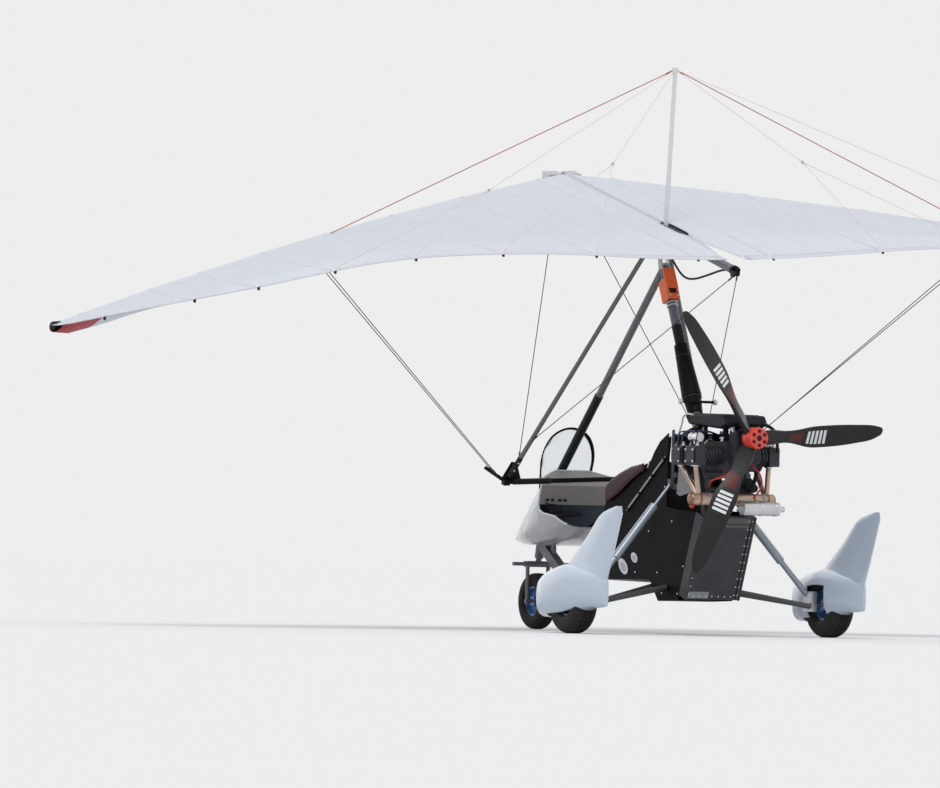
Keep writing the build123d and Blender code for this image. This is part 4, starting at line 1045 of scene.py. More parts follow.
def blade_skin(angle):
    """A blade: flat-bottomed sections on a twisting chord, thickest a third of the way along it.

    The upper side stands at thickness times the sine of pi times the chord's part to the 0.63.
    """
    radius = np.concatenate([np.linspace(0.05, 0.80, 60), np.linspace(0.81, 0.8645, 16)])
    chord, thick, pitch = (column[:, None] for column in read_off(BLADE_ROWS, radius))
    chord = chord * np.clip((0.8652 - radius[:, None]) / 0.012, 0, 1) ** 0.35
    pitch = np.radians(pitch)
    part = 0.5 - 0.5 * np.cos(np.linspace(0, pi, 20))
    part = np.concatenate([part, part[-2:0:-1]])
    over = np.arange(len(part)) < 20
    upper = thick * np.sin(pi * part ** 0.63) ** 0.85
    height = np.where(over, upper, 0) + 0.07 * thick * np.where(over, 1, -1) * part * (1 - part) * 4
    across = (part - 0.38) * chord
    x = across * np.cos(pitch) - height * np.sin(pitch)
    y = across * np.sin(pitch) + height * np.cos(pitch)
    points = np.stack([-x, -y, np.broadcast_to(radius[:, None], x.shape)], -1).reshape(-1, 3)
    points = points @ rotation(y=radians(90 - angle)).T + PROP_CENTRE
    faces = grid_faces(len(radius), len(part), ring=True)
    faces += [list(range(len(part)))[::-1], list(range(len(points) - len(part), len(points)))]
    uv = np.stack(np.broadcast_arrays(radius[:, None], part[None]), -1).reshape(-1, 2)
    return flipped((points, faces)), uv


def blade_finish():
    """Black composite with five white bars and a dark red band, placed by the blade's own map."""
    made = finish("blade_black", (0.010, 0.010, 0.011), rough=0.34, mottle=0.25, mottle_size=0.1,
                  grain=0.03, grain_size=0.001, shine=0.3)
    tree, skin, shade = shown_parts(made)
    place = add_node(tree, "UVMap", uv_map="cloth")
    parts = add_node(tree, "SeparateXYZ", {"Vector": place.outputs["UV"]})
    middle = line_mask(tree, parts.outputs["Y"], (0.52,), 0.31)
    for spots, half, colour in ((WHITE_BARS, 0.0085, (0.75, 0.76, 0.78, 1)),
                                (RED_BAND, 0.045, (0.09, 0.008, 0.010, 1))):
        bars = line_mask(tree, parts.outputs["X"], spots, half)
        shade = laid_over(tree, maths(tree, "MULTIPLY", bars, middle), shade, colour)
    feed(tree, skin, {"Base Color": shade})
    return made


def make_propeller():
    """Three blades, the black bolt heads on the hub's plate, and the hub's raised bands."""
    paint = blade_finish()
    blades, maps = zip(*(blade_skin(angle) for angle in BLADE_ANGLES))
    piece("blade_skins", joined(blades), paint, "propeller", ("propeller_blades",),
          uv=np.concatenate(maps))
    heads = []
    for k in range(6):
        turn = radians(60 * k)
        at = PROP_CENTRE + [0.041 * sin(turn), 0.0555, 0.041 * cos(turn)]
        heads.append(turned([(0, 0.0105), (0.0015, 0.0105), (0.0016, 0.0086), (0.0092, 0.0086),
                             (0.0102, 0.0072)], at, (0, 1, 0), 18))
    heads.append(turned([(0, 0.017), (0.002, 0.017), (0.004, 0.014), (0.0042, 0.007),
                         (0.001, 0.005)], PROP_CENTRE + [0, 0.0555, 0], (0, 1, 0), 24))
    piece("hub_bolts", joined(heads), "bolt_black", "propeller")
    bands = [turned([(0, 0.0623), (0.001, 0.0629), (0.004, 0.0629), (0.005, 0.0623)],
                    PROP_CENTRE + [0, y, 0], (0, 1, 0), 48) for y in (-0.030, 0.012, 0.036)]
    piece("hub_bands", joined(bands), "hub_band", "propeller")


# Seats

# How many frames the pads swell for, and by what pressure.
SWELL_FRAMES = 20
SWELL_PRESSURE = 4


def soften(pads, reach):
    """Rounds pads and lets pressure swell them, no point by more than its pad's reach.

    Each pad is remeshed evenly at 6 mm and smoothed. All swell in one run of twenty frames. A
    point's move is kept, or drawn back along itself to the reach.
    """
    scene = bpy.context.scene
    for pad in pads:
        even = pad.modifiers.new("even", "REMESH")
        even.mode, even.voxel_size = "VOXEL", 0.006
        soft = pad.modifiers.new("soft", "SMOOTH")
        soft.factor, soft.iterations = 0.5, 14
    depsgraph = bpy.context.evaluated_depsgraph_get()
    starts = []
    for pad in pads:
        mesh = bpy.data.meshes.new_from_object(pad.evaluated_get(depsgraph))
        pad.modifiers.clear()
        pad.data = mesh
        spots = np.zeros(len(mesh.vertices) * 3)
        mesh.vertices.foreach_get("co", spots)
        starts.append(spots.reshape(-1, 3))
    for pad in pads:
        cloth = pad.modifiers.new("swell", "CLOTH")
        cloth.point_cache.frame_start, cloth.point_cache.frame_end = 1, SWELL_FRAMES
        cloth.settings.use_pressure = True
        cloth.settings.uniform_pressure_force = SWELL_PRESSURE
        cloth.settings.effector_weights.gravity = 0
    for frame_number in range(1, SWELL_FRAMES + 1):
        scene.frame_set(frame_number)
    depsgraph = bpy.context.evaluated_depsgraph_get()
    for pad, start, most in zip(pads, starts, reach):
        swollen = pad.evaluated_get(depsgraph).to_mesh()
        spots = np.zeros(len(start) * 3)
        swollen.vertices.foreach_get("co", spots)
        move = spots.reshape(-1, 3) - start
        far = np.linalg.norm(move, axis=1, keepdims=True)
        start += move * np.minimum(1, most / np.maximum(far, 1e-9))
        pad.modifiers.clear()
    scene.frame_set(1)
    for pad, start in zip(pads, starts):
        pad.data.vertices.foreach_set("co", start.ravel())
        pad.data.update()
    for pad in pads:
        pad.data.polygons.foreach_set("use_smooth", np.ones(len(pad.data.polygons), bool))


def piping(pad, outline, x):
    """A round bead that follows an outline of (y, z), laid onto a pad's surface at x."""
    loop = np.asarray(outline + outline[:1], float)
    run = np.concatenate([[0], np.cumsum(np.linalg.norm(np.diff(loop, axis=0), axis=1))])
    at = np.linspace(0, run[-1], 90)
    y, z = (np.interp(at, run, loop[:, k]) for k in (0, 1))
    path = np.stack([np.full(90, x), y, z], 1)
    skin = BVHTree.FromObject(pad, bpy.context.evaluated_depsgraph_get())
    path = np.array([skin.find_nearest(Vector(spot))[0] for spot in path])
    round_again = np.concatenate([path[-4:-1], path, path[1:4]])
    return pipe(np.mean([round_again[k:k + 90] for k in range(7)], axis=0), 0.0032, 8)


# Each row: a pad's name, its outline of (y, z), its low and high x, its reach, its cloth.
PADS = (
    ("front_seat_cushion", [(-0.074, 0.612), (0.100, 0.572), (0.132, 0.610), (-0.080, 0.652)],
     -0.138, 0.138, 0.016, "seat_cloth"),
    ("front_seat_back", [(0.124, 0.590), (0.180, 0.615), (0.378, 1.000), (0.356, 0.998),
                         (0.136, 0.640)], -0.138, 0.138, 0.016, "seat_leather"),
    ("front_cheek_left", [(-0.084, 0.628), (-0.090, 0.704), (-0.052, 0.766), (-0.022, 0.842),
                          (0.026, 0.880), (0.110, 0.920), (0.250, 0.972), (0.386, 1.004),
                          (0.322, 0.882), (0.186, 0.612), (0.108, 0.570), (-0.064, 0.588)],
     0.150, 0.167, 0.008, "seat_leather"),
    ("front_side_left", [(-0.060, 0.772), (-0.048, 0.862), (0.012, 0.906), (0.112, 0.944),
                         (0.250, 0.984), (0.404, 1.004), (0.408, 0.955), (0.258, 0.890),
                         (0.090, 0.802), (-0.010, 0.768)], 0.187, 0.200, 0.006, "seat_leather"),
    ("rear_seat_cushion", [(0.340, 0.716), (0.600, 0.738), (0.600, 0.772), (0.350, 0.756)],
     -0.138, 0.138, 0.018, "seat_cloth"),
    ("rear_seat_back", [(0.574, 0.752), (0.604, 0.748), (0.650, 1.146), (0.634, 1.170),
                        (0.612, 1.160)], -0.138, 0.138, 0.016, "seat_cloth"),
    ("rear_cheek_left", [(0.342, 0.714), (0.390, 0.862), (0.444, 0.978), (0.506, 1.064),
                         (0.574, 1.126), (0.648, 1.168), (0.645, 1.100), (0.628, 0.734)],
     0.150, 0.167, 0.008, "seat_cloth"),
)
# Each row: the outline, (y, z), and half the width of a seat's shell or of the front seat's post.
SHELLS = (
    ([(-0.086, 0.602), (0.108, 0.560), (0.146, 0.592), (0.134, 0.600), (0.104, 0.571),
      (-0.084, 0.612)], 0.150),
    ([(0.184, 0.600), (0.192, 0.601), (0.392, 1.010), (0.384, 1.010)], 0.150),
    ([(0.322, 0.696), (0.618, 0.722), (0.618, 0.732), (0.322, 0.706)], 0.150),
    ([(0.610, 0.728), (0.618, 0.728), (0.661, 1.160), (0.653, 1.166)], 0.150),
    ([(-0.050, 0.352), (0.080, 0.349), (0.080, 0.572), (-0.050, 0.600)], 0.024),
)


def make_seats():
    """The seats' cushions, backs and side cheeks, with their piping, shells and posts."""
    pads, reach, outlines = [], [], []
    for name, outline, low, high, most, cloth in PADS:
        twins = [(name, low, high)]
        if low > 0:
            twins.append((name.replace("left", "right"), -high, -low))
        for twin, start, end in twins:
            node = "seat_front" if name.startswith("front") else "seat_rear"
            pads.append(piece(twin, prism(outline, start, end), cloth, "trike",
                              (node,)))
            reach.append(most)
            outlines.append((outline, start, end))
    soften(pads, reach)
    beads = []
    for pad, (outline, start, end) in zip(pads, outlines):
        if end - start > 0.1:
            beads += [piping(pad, outline, start + 0.004), piping(pad, outline, end - 0.004)]
            swell = pad.modifiers.new("smooth", "SUBSURF")
            swell.levels = swell.render_levels = 1
    piece("seat_piping", joined(beads), "seat_piping", "trike")
    pans = [prism(outline, -half, half) for outline, half in SHELLS]
    piece("seat_shells", joined(pans), "seat_shell", "trike",
          ("seat_front", "seat_rear"), bevel=0.003)


# Rigging

# In the level wing's frame: where the left lower stays end at the nose and at the tail.
NOSE_STAY = (0.026, -1.290, -0.040)
TAIL_STAY = (0.006, 0.888, -0.016)
# The kingpost's top, and the ends of the left side tube: its apex and the base bar's corner.
KINGPOST_TOP = np.array([0, -0.104, 0.967])
APEX = np.array([0.045, -0.043, -0.062])
CORNER = np.array([0.700, -0.290, -1.594])


def wire(start, end, radius, sleeve=0.05):
    """A taut wire in the wing's frame with a pressed sleeve at each end: it is a rod whose radius
    grows by nine tenths over the sleeves' lengths."""
    start, end = np.asarray(start, float), np.asarray(end, float)
    span = np.linalg.norm(end - start)
    at = np.array([0, 0.012, 0.013, 0.013 + sleeve, 0.014 + sleeve]) / span
    at = np.concatenate([at, 1 - at[::-1]])
    size = radius * np.array([1, 1, 1.9, 1.9, 1, 1, 1.9, 1.9, 1, 1])
    return pipe(on_wing(start + at[:, None] * (end - start)), size, 10, up=(0.3, 0.2, 1))


# What a point of the left side is multiplied by, to be on each side.
FLIPS = (np.array([1.0, 1, 1]), np.array([-1.0, 1, 1]))
# Where each side's upper and lower stays meet the leading edge.
JUNCTION = np.array([2.3, -0.0902, -0.0732])
# Each row: two battens' stations, how far along the way to them their ring is, and its drop.
LUFF_PAIRS = (((0.95, 1.58), 0.50, 0.030), ((2.16, 2.70), 0.63, 0.010))


def make_stays(sizes):
    """The stays over and under the wing, with their sleeves."""
    top = KINGPOST_TOP * 0.99
    upper = [wire(top * m, JUNCTION * m, sizes.stay) for m in FLIPS]
    piece("upper_stay_wires", joined(upper), "stay_red", "wing", ("upper_stays",))
    front, rear = CORNER + 0.085 * (APEX - CORNER), CORNER + 0.165 * (APEX - CORNER)
    ends = ((CORNER + [0.034, -0.038, 0.022], JUNCTION),
            (CORNER + [0.050, -0.055, 0.032], JUNCTION + [0.03, 0.015, 0]),
            (front, np.array(NOSE_STAY)), (rear, np.array(TAIL_STAY)))
    lower = [wire(start * m, end * m, sizes.stay) for start, end in ends for m in FLIPS]
    piece("lower_stay_wires", joined(lower), "stay_dark", "wing", ("lower_stays",))


def make_luff_lines(sizes):
    """The lines that hold up the sail's rear edge, each pair of battens' through a ring."""
    lines, rings = [], []
    for stations, reach, drop in LUFF_PAIRS:
        s, y, z = sail_point(np.array(stations), np.full(2, 0.985))
        ends = np.stack([s, y, z + 0.012], 1)
        ring = KINGPOST_TOP + reach * (ends.mean(0) - KINGPOST_TOP) - [0, 0, drop]
        for m in FLIPS:
            lines.append(wire(KINGPOST_TOP * 0.99 * m, ring * m, sizes.strand, 0.02))
            lines += [wire(ring * m, end * m, sizes.strand, 0.02) for end in ends]
            rings.append(turned([(-0.003, 0.005), (-0.003, 0.010), (0.003, 0.010), (0.003, 0.005),
                                 (-0.003, 0.005)], on_wing(ring * m), (0, 1, 0), 20))
    piece("luff_lines", joined(lines), "luff_line", "wing")
    piece("luff_rings", joined(rings), "rig_steel", "wing")


def wing_block(low, high):
    """A box of the level wing's frame, set as the wing is."""
    points, faces = block(low, high)
    return on_wing(points), faces


def control_corner(side):
    """A grip and a corner plate of the control frame, and the tip's cap."""
    _, y, z = (float(v) for v in sail_point(CAP_STATION, 0.12))
    cap = turned([(-0.050, 0.020), (-0.044, 0.027), (0.022, 0.027), (0.030, 0.022),
                  (0.032, 0.012)], on_wing([CAP_X * side, y, z - 0.016]), (side, 0.526, -0.08), 24)
    grip = np.stack([np.linspace(0.40, 0.655, 60) * side, np.full(60, CORNER[1]),
                     np.full(60, CORNER[2])], 1)
    ribs = 0.0172 + 0.0012 * (np.arange(60) % 4 < 2)
    ribs[[0, -1]] = 0.0150
    x, y, z = CORNER
    up = CORNER + 0.075 * (APEX - CORNER)
    points, faces = prism([(x, z - 0.018), (x - 0.105, z - 0.012), (x - 0.105, z + 0.012),
                           (up[0] - 0.016, up[2]), (up[0] + 0.020, up[2] + 0.004),
                           (x + 0.030, z + 0.01)], y - 0.0175, y - 0.0145, axis=1)
    return [cap, pipe(on_wing(grip), ribs, 20), (on_wing(points * [side, 1, 1]), faces)]


def make_rigging():
    """The stays with their sleeves, the luff lines and rings, and the sail's edge fittings."""
    sizes = settings()[1]
    make_stays(sizes)
    make_luff_lines(sizes)
    tabs, fittings = [], []
    for m in (1, -1):
        for at in BATTENS:
            s, y, z = (float(v) for v in sail_point(at, 0.985))
            low = np.array([m * s - 0.011, y - 0.028, z - 0.006])
            high = np.array([m * s + 0.011, y + 0.008, z + 0.005])
            tabs.append(wing_block(low, high))
            fittings.append(wing_block(low + [0.006, 0.030, -0.010],
                                       high + [-0.006, 0.012, -0.001]))
    piece("edge_tabs", joined(tabs), "tab_white", "wing", bevel=0.0015)
    # A black sheet under the sail's root slot is painted shade, so the opening reads dark.
    parts = np.linspace(0.585, 0.745, 12)
    x = np.linspace(-0.045, 0.045, 7)
    _, y, z = sail_point(np.abs(x)[None], parts[:, None])
    slot_shade_sheet = sheet_grid(on_wing(np.stack([np.broadcast_to(x, y.shape), y, z - 0.010], -1)))
    piece("slot_lining", flipped(slot_shade_sheet), "rig_black", "wing", thick=0.001,
          closed=False)
    fittings += control_corner(1) + control_corner(-1)
    fittings.append(turned([(-0.008, 0.006), (-0.008, 0.020), (-0.004, 0.020), (0, 0.015),
                            (0.004, 0.020), (0.008, 0.020), (0.008, 0.006)],
                           on_wing([0.024, 0.888, -0.012]), (1, 0, 0), 28))
    piece("rig_fittings", joined(fittings), "rig_black", "wing", bevel=0.001)


# Engine and body dress

CRANK_Z = 1.045
# Each row: a cylinder's side and its y.
CYLINDERS = ((1, 0.945), (1, 1.108), (-1, 0.915), (-1, 1.078))
# How far out the cylinder heads' faces are, and the silencer's and its cross cylinder's y and z.
HEAD_X = 0.288
EXHAUST_AXIS = (1.105, 0.792)
SILENCER_AXIS = (1.180, 0.742)


def oval(y, z, long, short, tilt, x=0.1845):
    """A flat oval badge on the body's side: its outline is the tilted ellipse's, pulled out."""
    turn = np.linspace(0, 2 * pi, 40, endpoint=False)
    a, b = long * np.cos(turn), short * np.sin(turn)
    outline = np.stack([y + a * cos(tilt) - b * sin(tilt), z + a * sin(tilt) + b * cos(tilt)], 1)
    return prism(outline, x - 0.003, x)


def make_airbox():
    """The airbox's cover on four feet, with ridges along its top."""
    cover = prism([(0.752, 1.291), (0.813, 1.226), (1.180, 1.198), (1.262, 1.224),
                   (1.226, 1.279)], -0.138, 0.138)
    feet = [rod((x, y, 1.128), (x, y, 1.226), 0.012) for x in (-0.07, 0.07) for y in (0.9, 1.12)]
    ridges = [prism([(0.80, 1.286), (0.80, 1.292), (1.215, 1.283), (1.215, 1.277)],
                    x - 0.004, x + 0.004) for x in (-0.095, -0.032, 0.032, 0.095)]
    piece("airbox_cover", joined([cover, *feet]), "cover_black", "trike", ("airbox",),
          bevel=0.012)
    piece("airbox_ridges", joined(ridges), "cover_black", "trike", bevel=0.002)


def make_heads():
    """The heads' plates with their bolts, the plug caps with their leads, and pipe flanges."""
    plates, bolts, leads, caps = [], [], [], []
    for side, y in CYLINDERS:
        x = HEAD_X * side
        for start, end, reach, below, above in ((-0.004, 0.009, 0.050, 0.046, 0.040),
                                                (-0.056, -0.050, 0.062, 0.060, 0.056)):
            low, high = sorted((x + start * side, x + end * side))
            plates.append(block((low, y - reach, CRANK_Z - below),
                                (high, y + reach, CRANK_Z + above)))
        bolts += [nut((x + 0.008 * side, y + dy, CRANK_Z + dz), (side, 0, 0), 0.0075)
                  for dz in (-0.037, 0.031) for dy in (-0.041, 0.041)]
        for shift in (-0.022, 0.024):
            plug = np.array([x - 0.022 * side, y + shift, CRANK_Z + 0.050])
            caps.append(turned([(0, 0.011), (0.012, 0.011), (0.016, 0.0085), (0.034, 0.0085),
                                (0.038, 0.006)], plug, (0, 0, 1), 14))
            end = np.array([0.045 * side, 0.93 + 0.10 * (shift > 0), 1.160])
            middle = (plug + end) / 2 + [0.03 * side, 0.02, 0.055]
            leads.append(hose([plug + [0, 0, 0.036], plug + [-0.006 * side, 0, 0.075], middle,
                               end + [0.03 * side, 0, 0.01], end], 0.0042, 8, 26))
        bolts.append(turned([(0, 0.024), (0.006, 0.024), (0.0062, 0.017), (0.0, 0.017)],
                            (0.252 * side, y, CRANK_Z - 0.059), (0, 0, -1), 20))
    piece("head_plates", joined(plates), "plate_dark", "trike", bevel=0.003)
    piece("engine_bolts", joined(bolts), "bolt_steel", "trike")
    piece("plug_caps", joined(caps), "hose_rubber", "trike")
    piece("plug_leads", joined(leads), "lead_blue", "trike")


def make_engine_boxes():
    """The coils, starter and oil filter, and the gearbox's cover with its ring of bolts."""
    boxes = [block((x - 0.035, y - 0.038, 1.129), (x + 0.035, y + 0.038, 1.172))
             for x, y in ((0.030, 0.93), (-0.030, 1.03))]
    boxes.append(turned([(0, 0.022), (0.004, 0.030), (0.10, 0.030), (0.105, 0.034),
                         (0.120, 0.034), (0.126, 0.020)], (-0.118, 1.06, 0.985), (0, 1, 0), 28))
    boxes.append(turned([(0, 0.030), (0.060, 0.034), (0.072, 0.034), (0.080, 0.020)],
                        (0.06, 0.852, 1.02), (0, -1, 0), 28))
    piece("engine_boxes", joined(boxes), "cover_black", "trike", bevel=0.003)
    gear = [block((-0.072, 1.266, 1.006), (0.072, 1.274, 1.182))]
    gear += [nut((0.064 * cos(turn), 1.273, 1.100 + 0.070 * sin(turn)), (0, 1, 0), 0.0065, 0.007)
             for turn in np.linspace(0, 2 * pi, 10, endpoint=False)]
    piece("gearbox_cover", joined(gear), "plate_dark", "trike", bevel=0.002)


def make_hoses():
    """The coolant and air hoses, the red hoses and the pale ones."""
    hoses = []
    for m in (1, -1):
        hoses.append(hose([(0.20 * m, 1.02, 0.985), (0.185 * m, 1.05, 0.93),
                           (0.155 * m, 1.03, 0.84), (0.130 * m, 1.02, 0.76),
                           (0.120 * m, 1.035, 0.700)], 0.0125, 14, 30))
        hoses.append(hose([(0.244 * m, 1.005 + 0.015 * m, 1.148), (0.23 * m, 0.95, 1.165),
                           (0.16 * m, 0.90, 1.19), (0.10 * m, 0.91, 1.225)], 0.015, 14, 26))
    hoses.append(hose([(-0.10, 1.25, 1.24), (-0.175, 1.255, 1.20), (-0.235, 1.20, 1.12),
                       (-0.262, 1.16, 1.075)], 0.010, 12, 26))
    piece("engine_hoses", joined(hoses), "hose_rubber", "trike")
    reds = [hose([(0.05, 1.19, 0.975), (0.10, 1.20, 0.93), (0.165, 1.15, 0.90),
                  (0.15, 1.08, 0.86)], 0.0055, 10, 20),
            hose([(-0.06, 1.20, 1.0), (-0.10, 1.24, 0.94), (-0.13, 1.21, 0.87),
                  (-0.10, 1.17, 0.80)], 0.0055, 10, 20),
            rod((0.276, 1.105, 0.758), (0.262, 1.105, 0.748), 0.016)]
    piece("red_hoses", joined(reds), "hose_red", "trike")
    pales = [hose([(0.150, 0.72, 1.165), (0.150, 0.757, 1.225), (0.150, 0.778, 1.272),
                   (0.150, 0.815, 1.284), (0.146, 0.88, 1.280)], 0.0055, 10, 26),
             hose([(0.10, 0.70, 1.10), (0.13, 0.735, 1.04), (0.12, 0.80, 0.99),
                   (0.10, 0.85, 0.985)], 0.0045, 10, 22)]
    piece("pale_hoses", joined(pales), "hose_pale", "trike")


def make_exhaust():
    """The cross cylinder's bands and end caps, and the silencer's rings, outlet and springs."""
    bands = [band((x, *EXHAUST_AXIS), (1, 0, 0), 0.006, 0.0362, 0.0380)
             for x in (-0.225, -0.13, 0.02, 0.12, 0.225)]
    bands += [turned([(0, 0.0362), (0.004, 0.0362), (0.012, 0.030), (0.016, 0.018)],
                     (x, *EXHAUST_AXIS), (x, 0, 0), 40) for x in (0.275, -0.261)]
    piece("exhaust_bands", joined(bands), "pipe_bronze", "trike")
    rings = [band((x, *SILENCER_AXIS), (1, 0, 0), 0.005, 0.0402, 0.0420)
             for x in (-0.235, -0.14, -0.045)]
    rings.append(turned([(0, 0.0402), (0.005, 0.0395), (0.012, 0.030), (0.013, 0.016),
                         (0.045, 0.016), (0.045, 0.012), (0.014, 0.012)],
                        (-0.255, *SILENCER_AXIS), (-1, 0, 0), 36))
    turn = np.linspace(0, 14 * pi, 100)
    rings += [pipe(np.stack([x + 0.0045 * np.cos(turn), 1.142 + 0.0045 * np.sin(turn),
                             np.linspace(0.775, 0.83, 100)], 1), 0.0011, 6)
              for x in (-0.19, 0.08, 0.17)]
    piece("silencer_rings", joined(rings), "bolt_steel", "trike")


def make_unions():
    """The unions on the heads, with their short pipes, and those on the block and gearbox."""
    unions = []
    for side, y in CYLINDERS:
        for shift in (-0.034, 0.034):
            unions.append(turned([(0, 0.009), (0.010, 0.009), (0.012, 0.013), (0.020, 0.013),
                                  (0.022, 0.007), (0.034, 0.007)],
                                 (0.262 * side, y + shift, CRANK_Z + 0.042), (0, 0, 1), 16))
        unions.append(hose([(x * side, y + dy, CRANK_Z + dz) for x, dy, dz in
                            ((0.215, 0.03, 0.062), (0.19, 0.02, 0.085), (0.15, -0.01, 0.09),
                             (0.115, -0.02, 0.07))], 0.0055, 10, 20))
    for side in (1, -1):
        unions.append(turned([(-0.004, 0.0275), (-0.004, 0.0300), (0.010, 0.0300),
                              (0.010, 0.0275)], (0.244 * side, 1.043 + 0.015 * side, 1.148),
                             (0, 1, 0), 32))
        unions.append(turned([(0, 0.010), (0.014, 0.010), (0.016, 0.015), (0.024, 0.015),
                              (0.026, 0.010)], (0.105 * side, 1.150, 1.128), (0, 0, 1), 18))
        unions.append(turned([(0, 0.012), (0.018, 0.012), (0.020, 0.017), (0.030, 0.017),
                              (0.032, 0.009)], (0.080 * side, 1.230, 1.186),
                             (side * 0.4, 0.2, 0.9), 18))
    piece("engine_unions", joined(unions), "bolt_steel", "trike")


def make_gussets():
    """The mount frame's two side plates, with their rivets and the rods that hold them."""
    plates = []
    for x, side in ((0.197, 1), (-0.203, -1)):
        plates.append(prism([(0.804, 0.820), (0.846, 0.806), (1.040, 0.842), (1.052, 0.866),
                             (0.852, 0.992), (0.828, 0.984)], x, x + 0.006))
        plates += [dome((x + 0.006 * (side > 0), y, z), 0.008, (side, 0, 0))
                   for y, z in ((0.834, 0.836), (1.022, 0.858), (0.846, 0.962))]
        plates.append(rod((x - 0.010 * side, 0.828, 0.86), (0.165 * side, 0.825, 0.86), 0.008))
    piece("mount_gussets", joined(plates), "bracket_grey", "trike", bevel=0.001)


def make_engine():
    """The airbox, plug leads, hoses, covers, bolts and pipe flanges of the engine."""
    make_airbox()
    make_heads()
    make_engine_boxes()
    make_hoses()
    make_exhaust()
    make_unions()
    make_gussets()


# The radiator's rear face from its foot to its head, (y, z), and the way it looks, (x, y, z).
RADIATOR_FOOT, RADIATOR_HEAD = np.array([0.890, 0.209]), np.array([1.072, 0.693])
RADIATOR_OUT = np.array([0, 0.936, -0.352])
# The mast from its bend to its top, and the part of that way where the orange clamp is.
MAST_KNEE, MAST_TOP = np.array([0, 0.790, 1.000]), np.array([0, 0.248, 2.150])
CLAMP_PART = 0.8775
# The front strut's foot, and the side rail's ends on the left.
STRUT_FOOT = np.array([0, -1.128, 0.757])
RAIL_START, RAIL_END = np.array([0.188, 0.199, 0.721]), np.array([0.188, 0.642, 1.036])
# Where screws show on the body's sides, (y, z).
SIDE_SCREWS = ((0.05, 0.42), (0.05, 0.62), (0.30, 0.36), (0.56, 0.36), (0.62, 0.24),
               (0.80, 0.24), (0.72, 0.66), (0.86, 0.40), (0.45, 0.60), (0.63, 0.86))
# Each row: a badge's y and z, half its length, half its width and its tilt.
BADGES = ((0.161, 0.391, 0.062, 0.036, -0.62), (0.290, 0.444, 0.040, 0.026, -0.5))
# The upper edge of the body's side from the front, (y, z).
BODY_EDGE = np.array([(-0.100, 0.690), (-0.062, 0.756), (-0.034, 0.836), (0.020, 0.874),
                      (0.106, 0.914), (0.247, 0.966), (0.436, 0.968), (0.500, 1.056),
                      (0.570, 1.122), (0.660, 1.168)])


def make_radiator():
    """The radiator's bands, flanges and gasket, laid on its leaning rear face."""
    def strip(low, high, left, right, lift=0.0015):
        """A strip across the rear face, between two parts of its height."""
        a, b = (RADIATOR_FOOT + part * (RADIATOR_HEAD - RADIATOR_FOOT) for part in (low, high))
        out = RADIATOR_OUT[1:] * lift
        return prism([a - out, a + out, b + out, b - out], left, right)

    piece("radiator_band", strip(0.015, 0.095, 0.03, 0.168), "radiator_band", "trike",
          bevel=0.0008)
    flanges = [strip(0.87, 0.985, -0.146, 0.160), strip(0.01, 0.99, -0.1815, -0.160)]
    piece("radiator_flanges", joined(flanges), "radiator_flange", "trike",
          bevel=0.0008)
    gasket = [strip(0.02, 0.90, -0.158, -0.148, 0.002), strip(0.905, 0.915, -0.16, 0.16, 0.002)]
    piece("radiator_gasket", joined(gasket), "trim_black", "trike")


def body_rivets():
    """The rivets of the radiator's face and the screws of the body's sides."""
    spots = [(x, part) for part in np.linspace(0.06, 0.95, 10) for x in (0.162, -0.163, -0.140)]
    spots += [(x, 0.042) for x in np.linspace(-0.12, 0.13, 7)]
    rivets = [dome(np.array([x, *(RADIATOR_FOOT + part * (RADIATOR_HEAD - RADIATOR_FOOT))])
                   + 0.0015 * RADIATOR_OUT, 0.0045, RADIATOR_OUT) for x, part in spots]
    return rivets + [dome((0.182 * side, y, z), 0.0055, (side, 0, 0))
                     for y, z in SIDE_SCREWS for side in (1, -1)]


def make_body_sides():
    """The badges, the side rails' sleeves and clips, and the edging of the body's sides."""
    badges, middles, rails, clips, trims = [], [], [], [], []
    for side in (1, -1):
        for y, z, long, short, tilt in BADGES:
            shape = oval(y, z, long, short, tilt)
            inner = oval(y + 0.004, z - 0.003, 0.62 * long, 0.60 * short, tilt, 0.1852)
            badges.append(shape if side > 0 else mirrored(shape))
            middles.append(inner if side > 0 else mirrored(inner))
        start, end = RAIL_START * [side, 1, 1], RAIL_END * [side, 1, 1]
        along = (end - start) / np.linalg.norm(end - start)
        rails.append(pipe(start + np.linspace(0, 1, 24)[:, None] * (end - start), 0.0066, 16))
        for part in (0.03, 0.33, 0.66, 0.97):
            at = start + part * (end - start)
            clips.append(pipe([at - 0.008 * along, at + 0.008 * along], 0.0098, 16))
            clips.append(dome(at + [0.009 * side, 0, 0], 0.0050, (side, 0, 0)))
        path = np.insert(BODY_EDGE, 0, 0.1795 * side, axis=1)
        run = np.linspace(0, len(path) - 1, 90)
        path = np.stack([np.interp(run, np.arange(len(path)), path[:, k]) for k in range(3)], 1)
        trims.append(pipe(path, 0.0055, 10))
    piece("body_ovals", joined(badges), "badge_white", "trike", bevel=0.0006)
    piece("body_oval_centres", joined(middles), "badge_grey", "trike")
    piece("rail_sleeves", joined(rails), "rail_silver", "trike")
    piece("rail_clips", joined(clips), "trim_black", "trike")
    piece("body_edging", joined(trims), "trim_black", "trike")


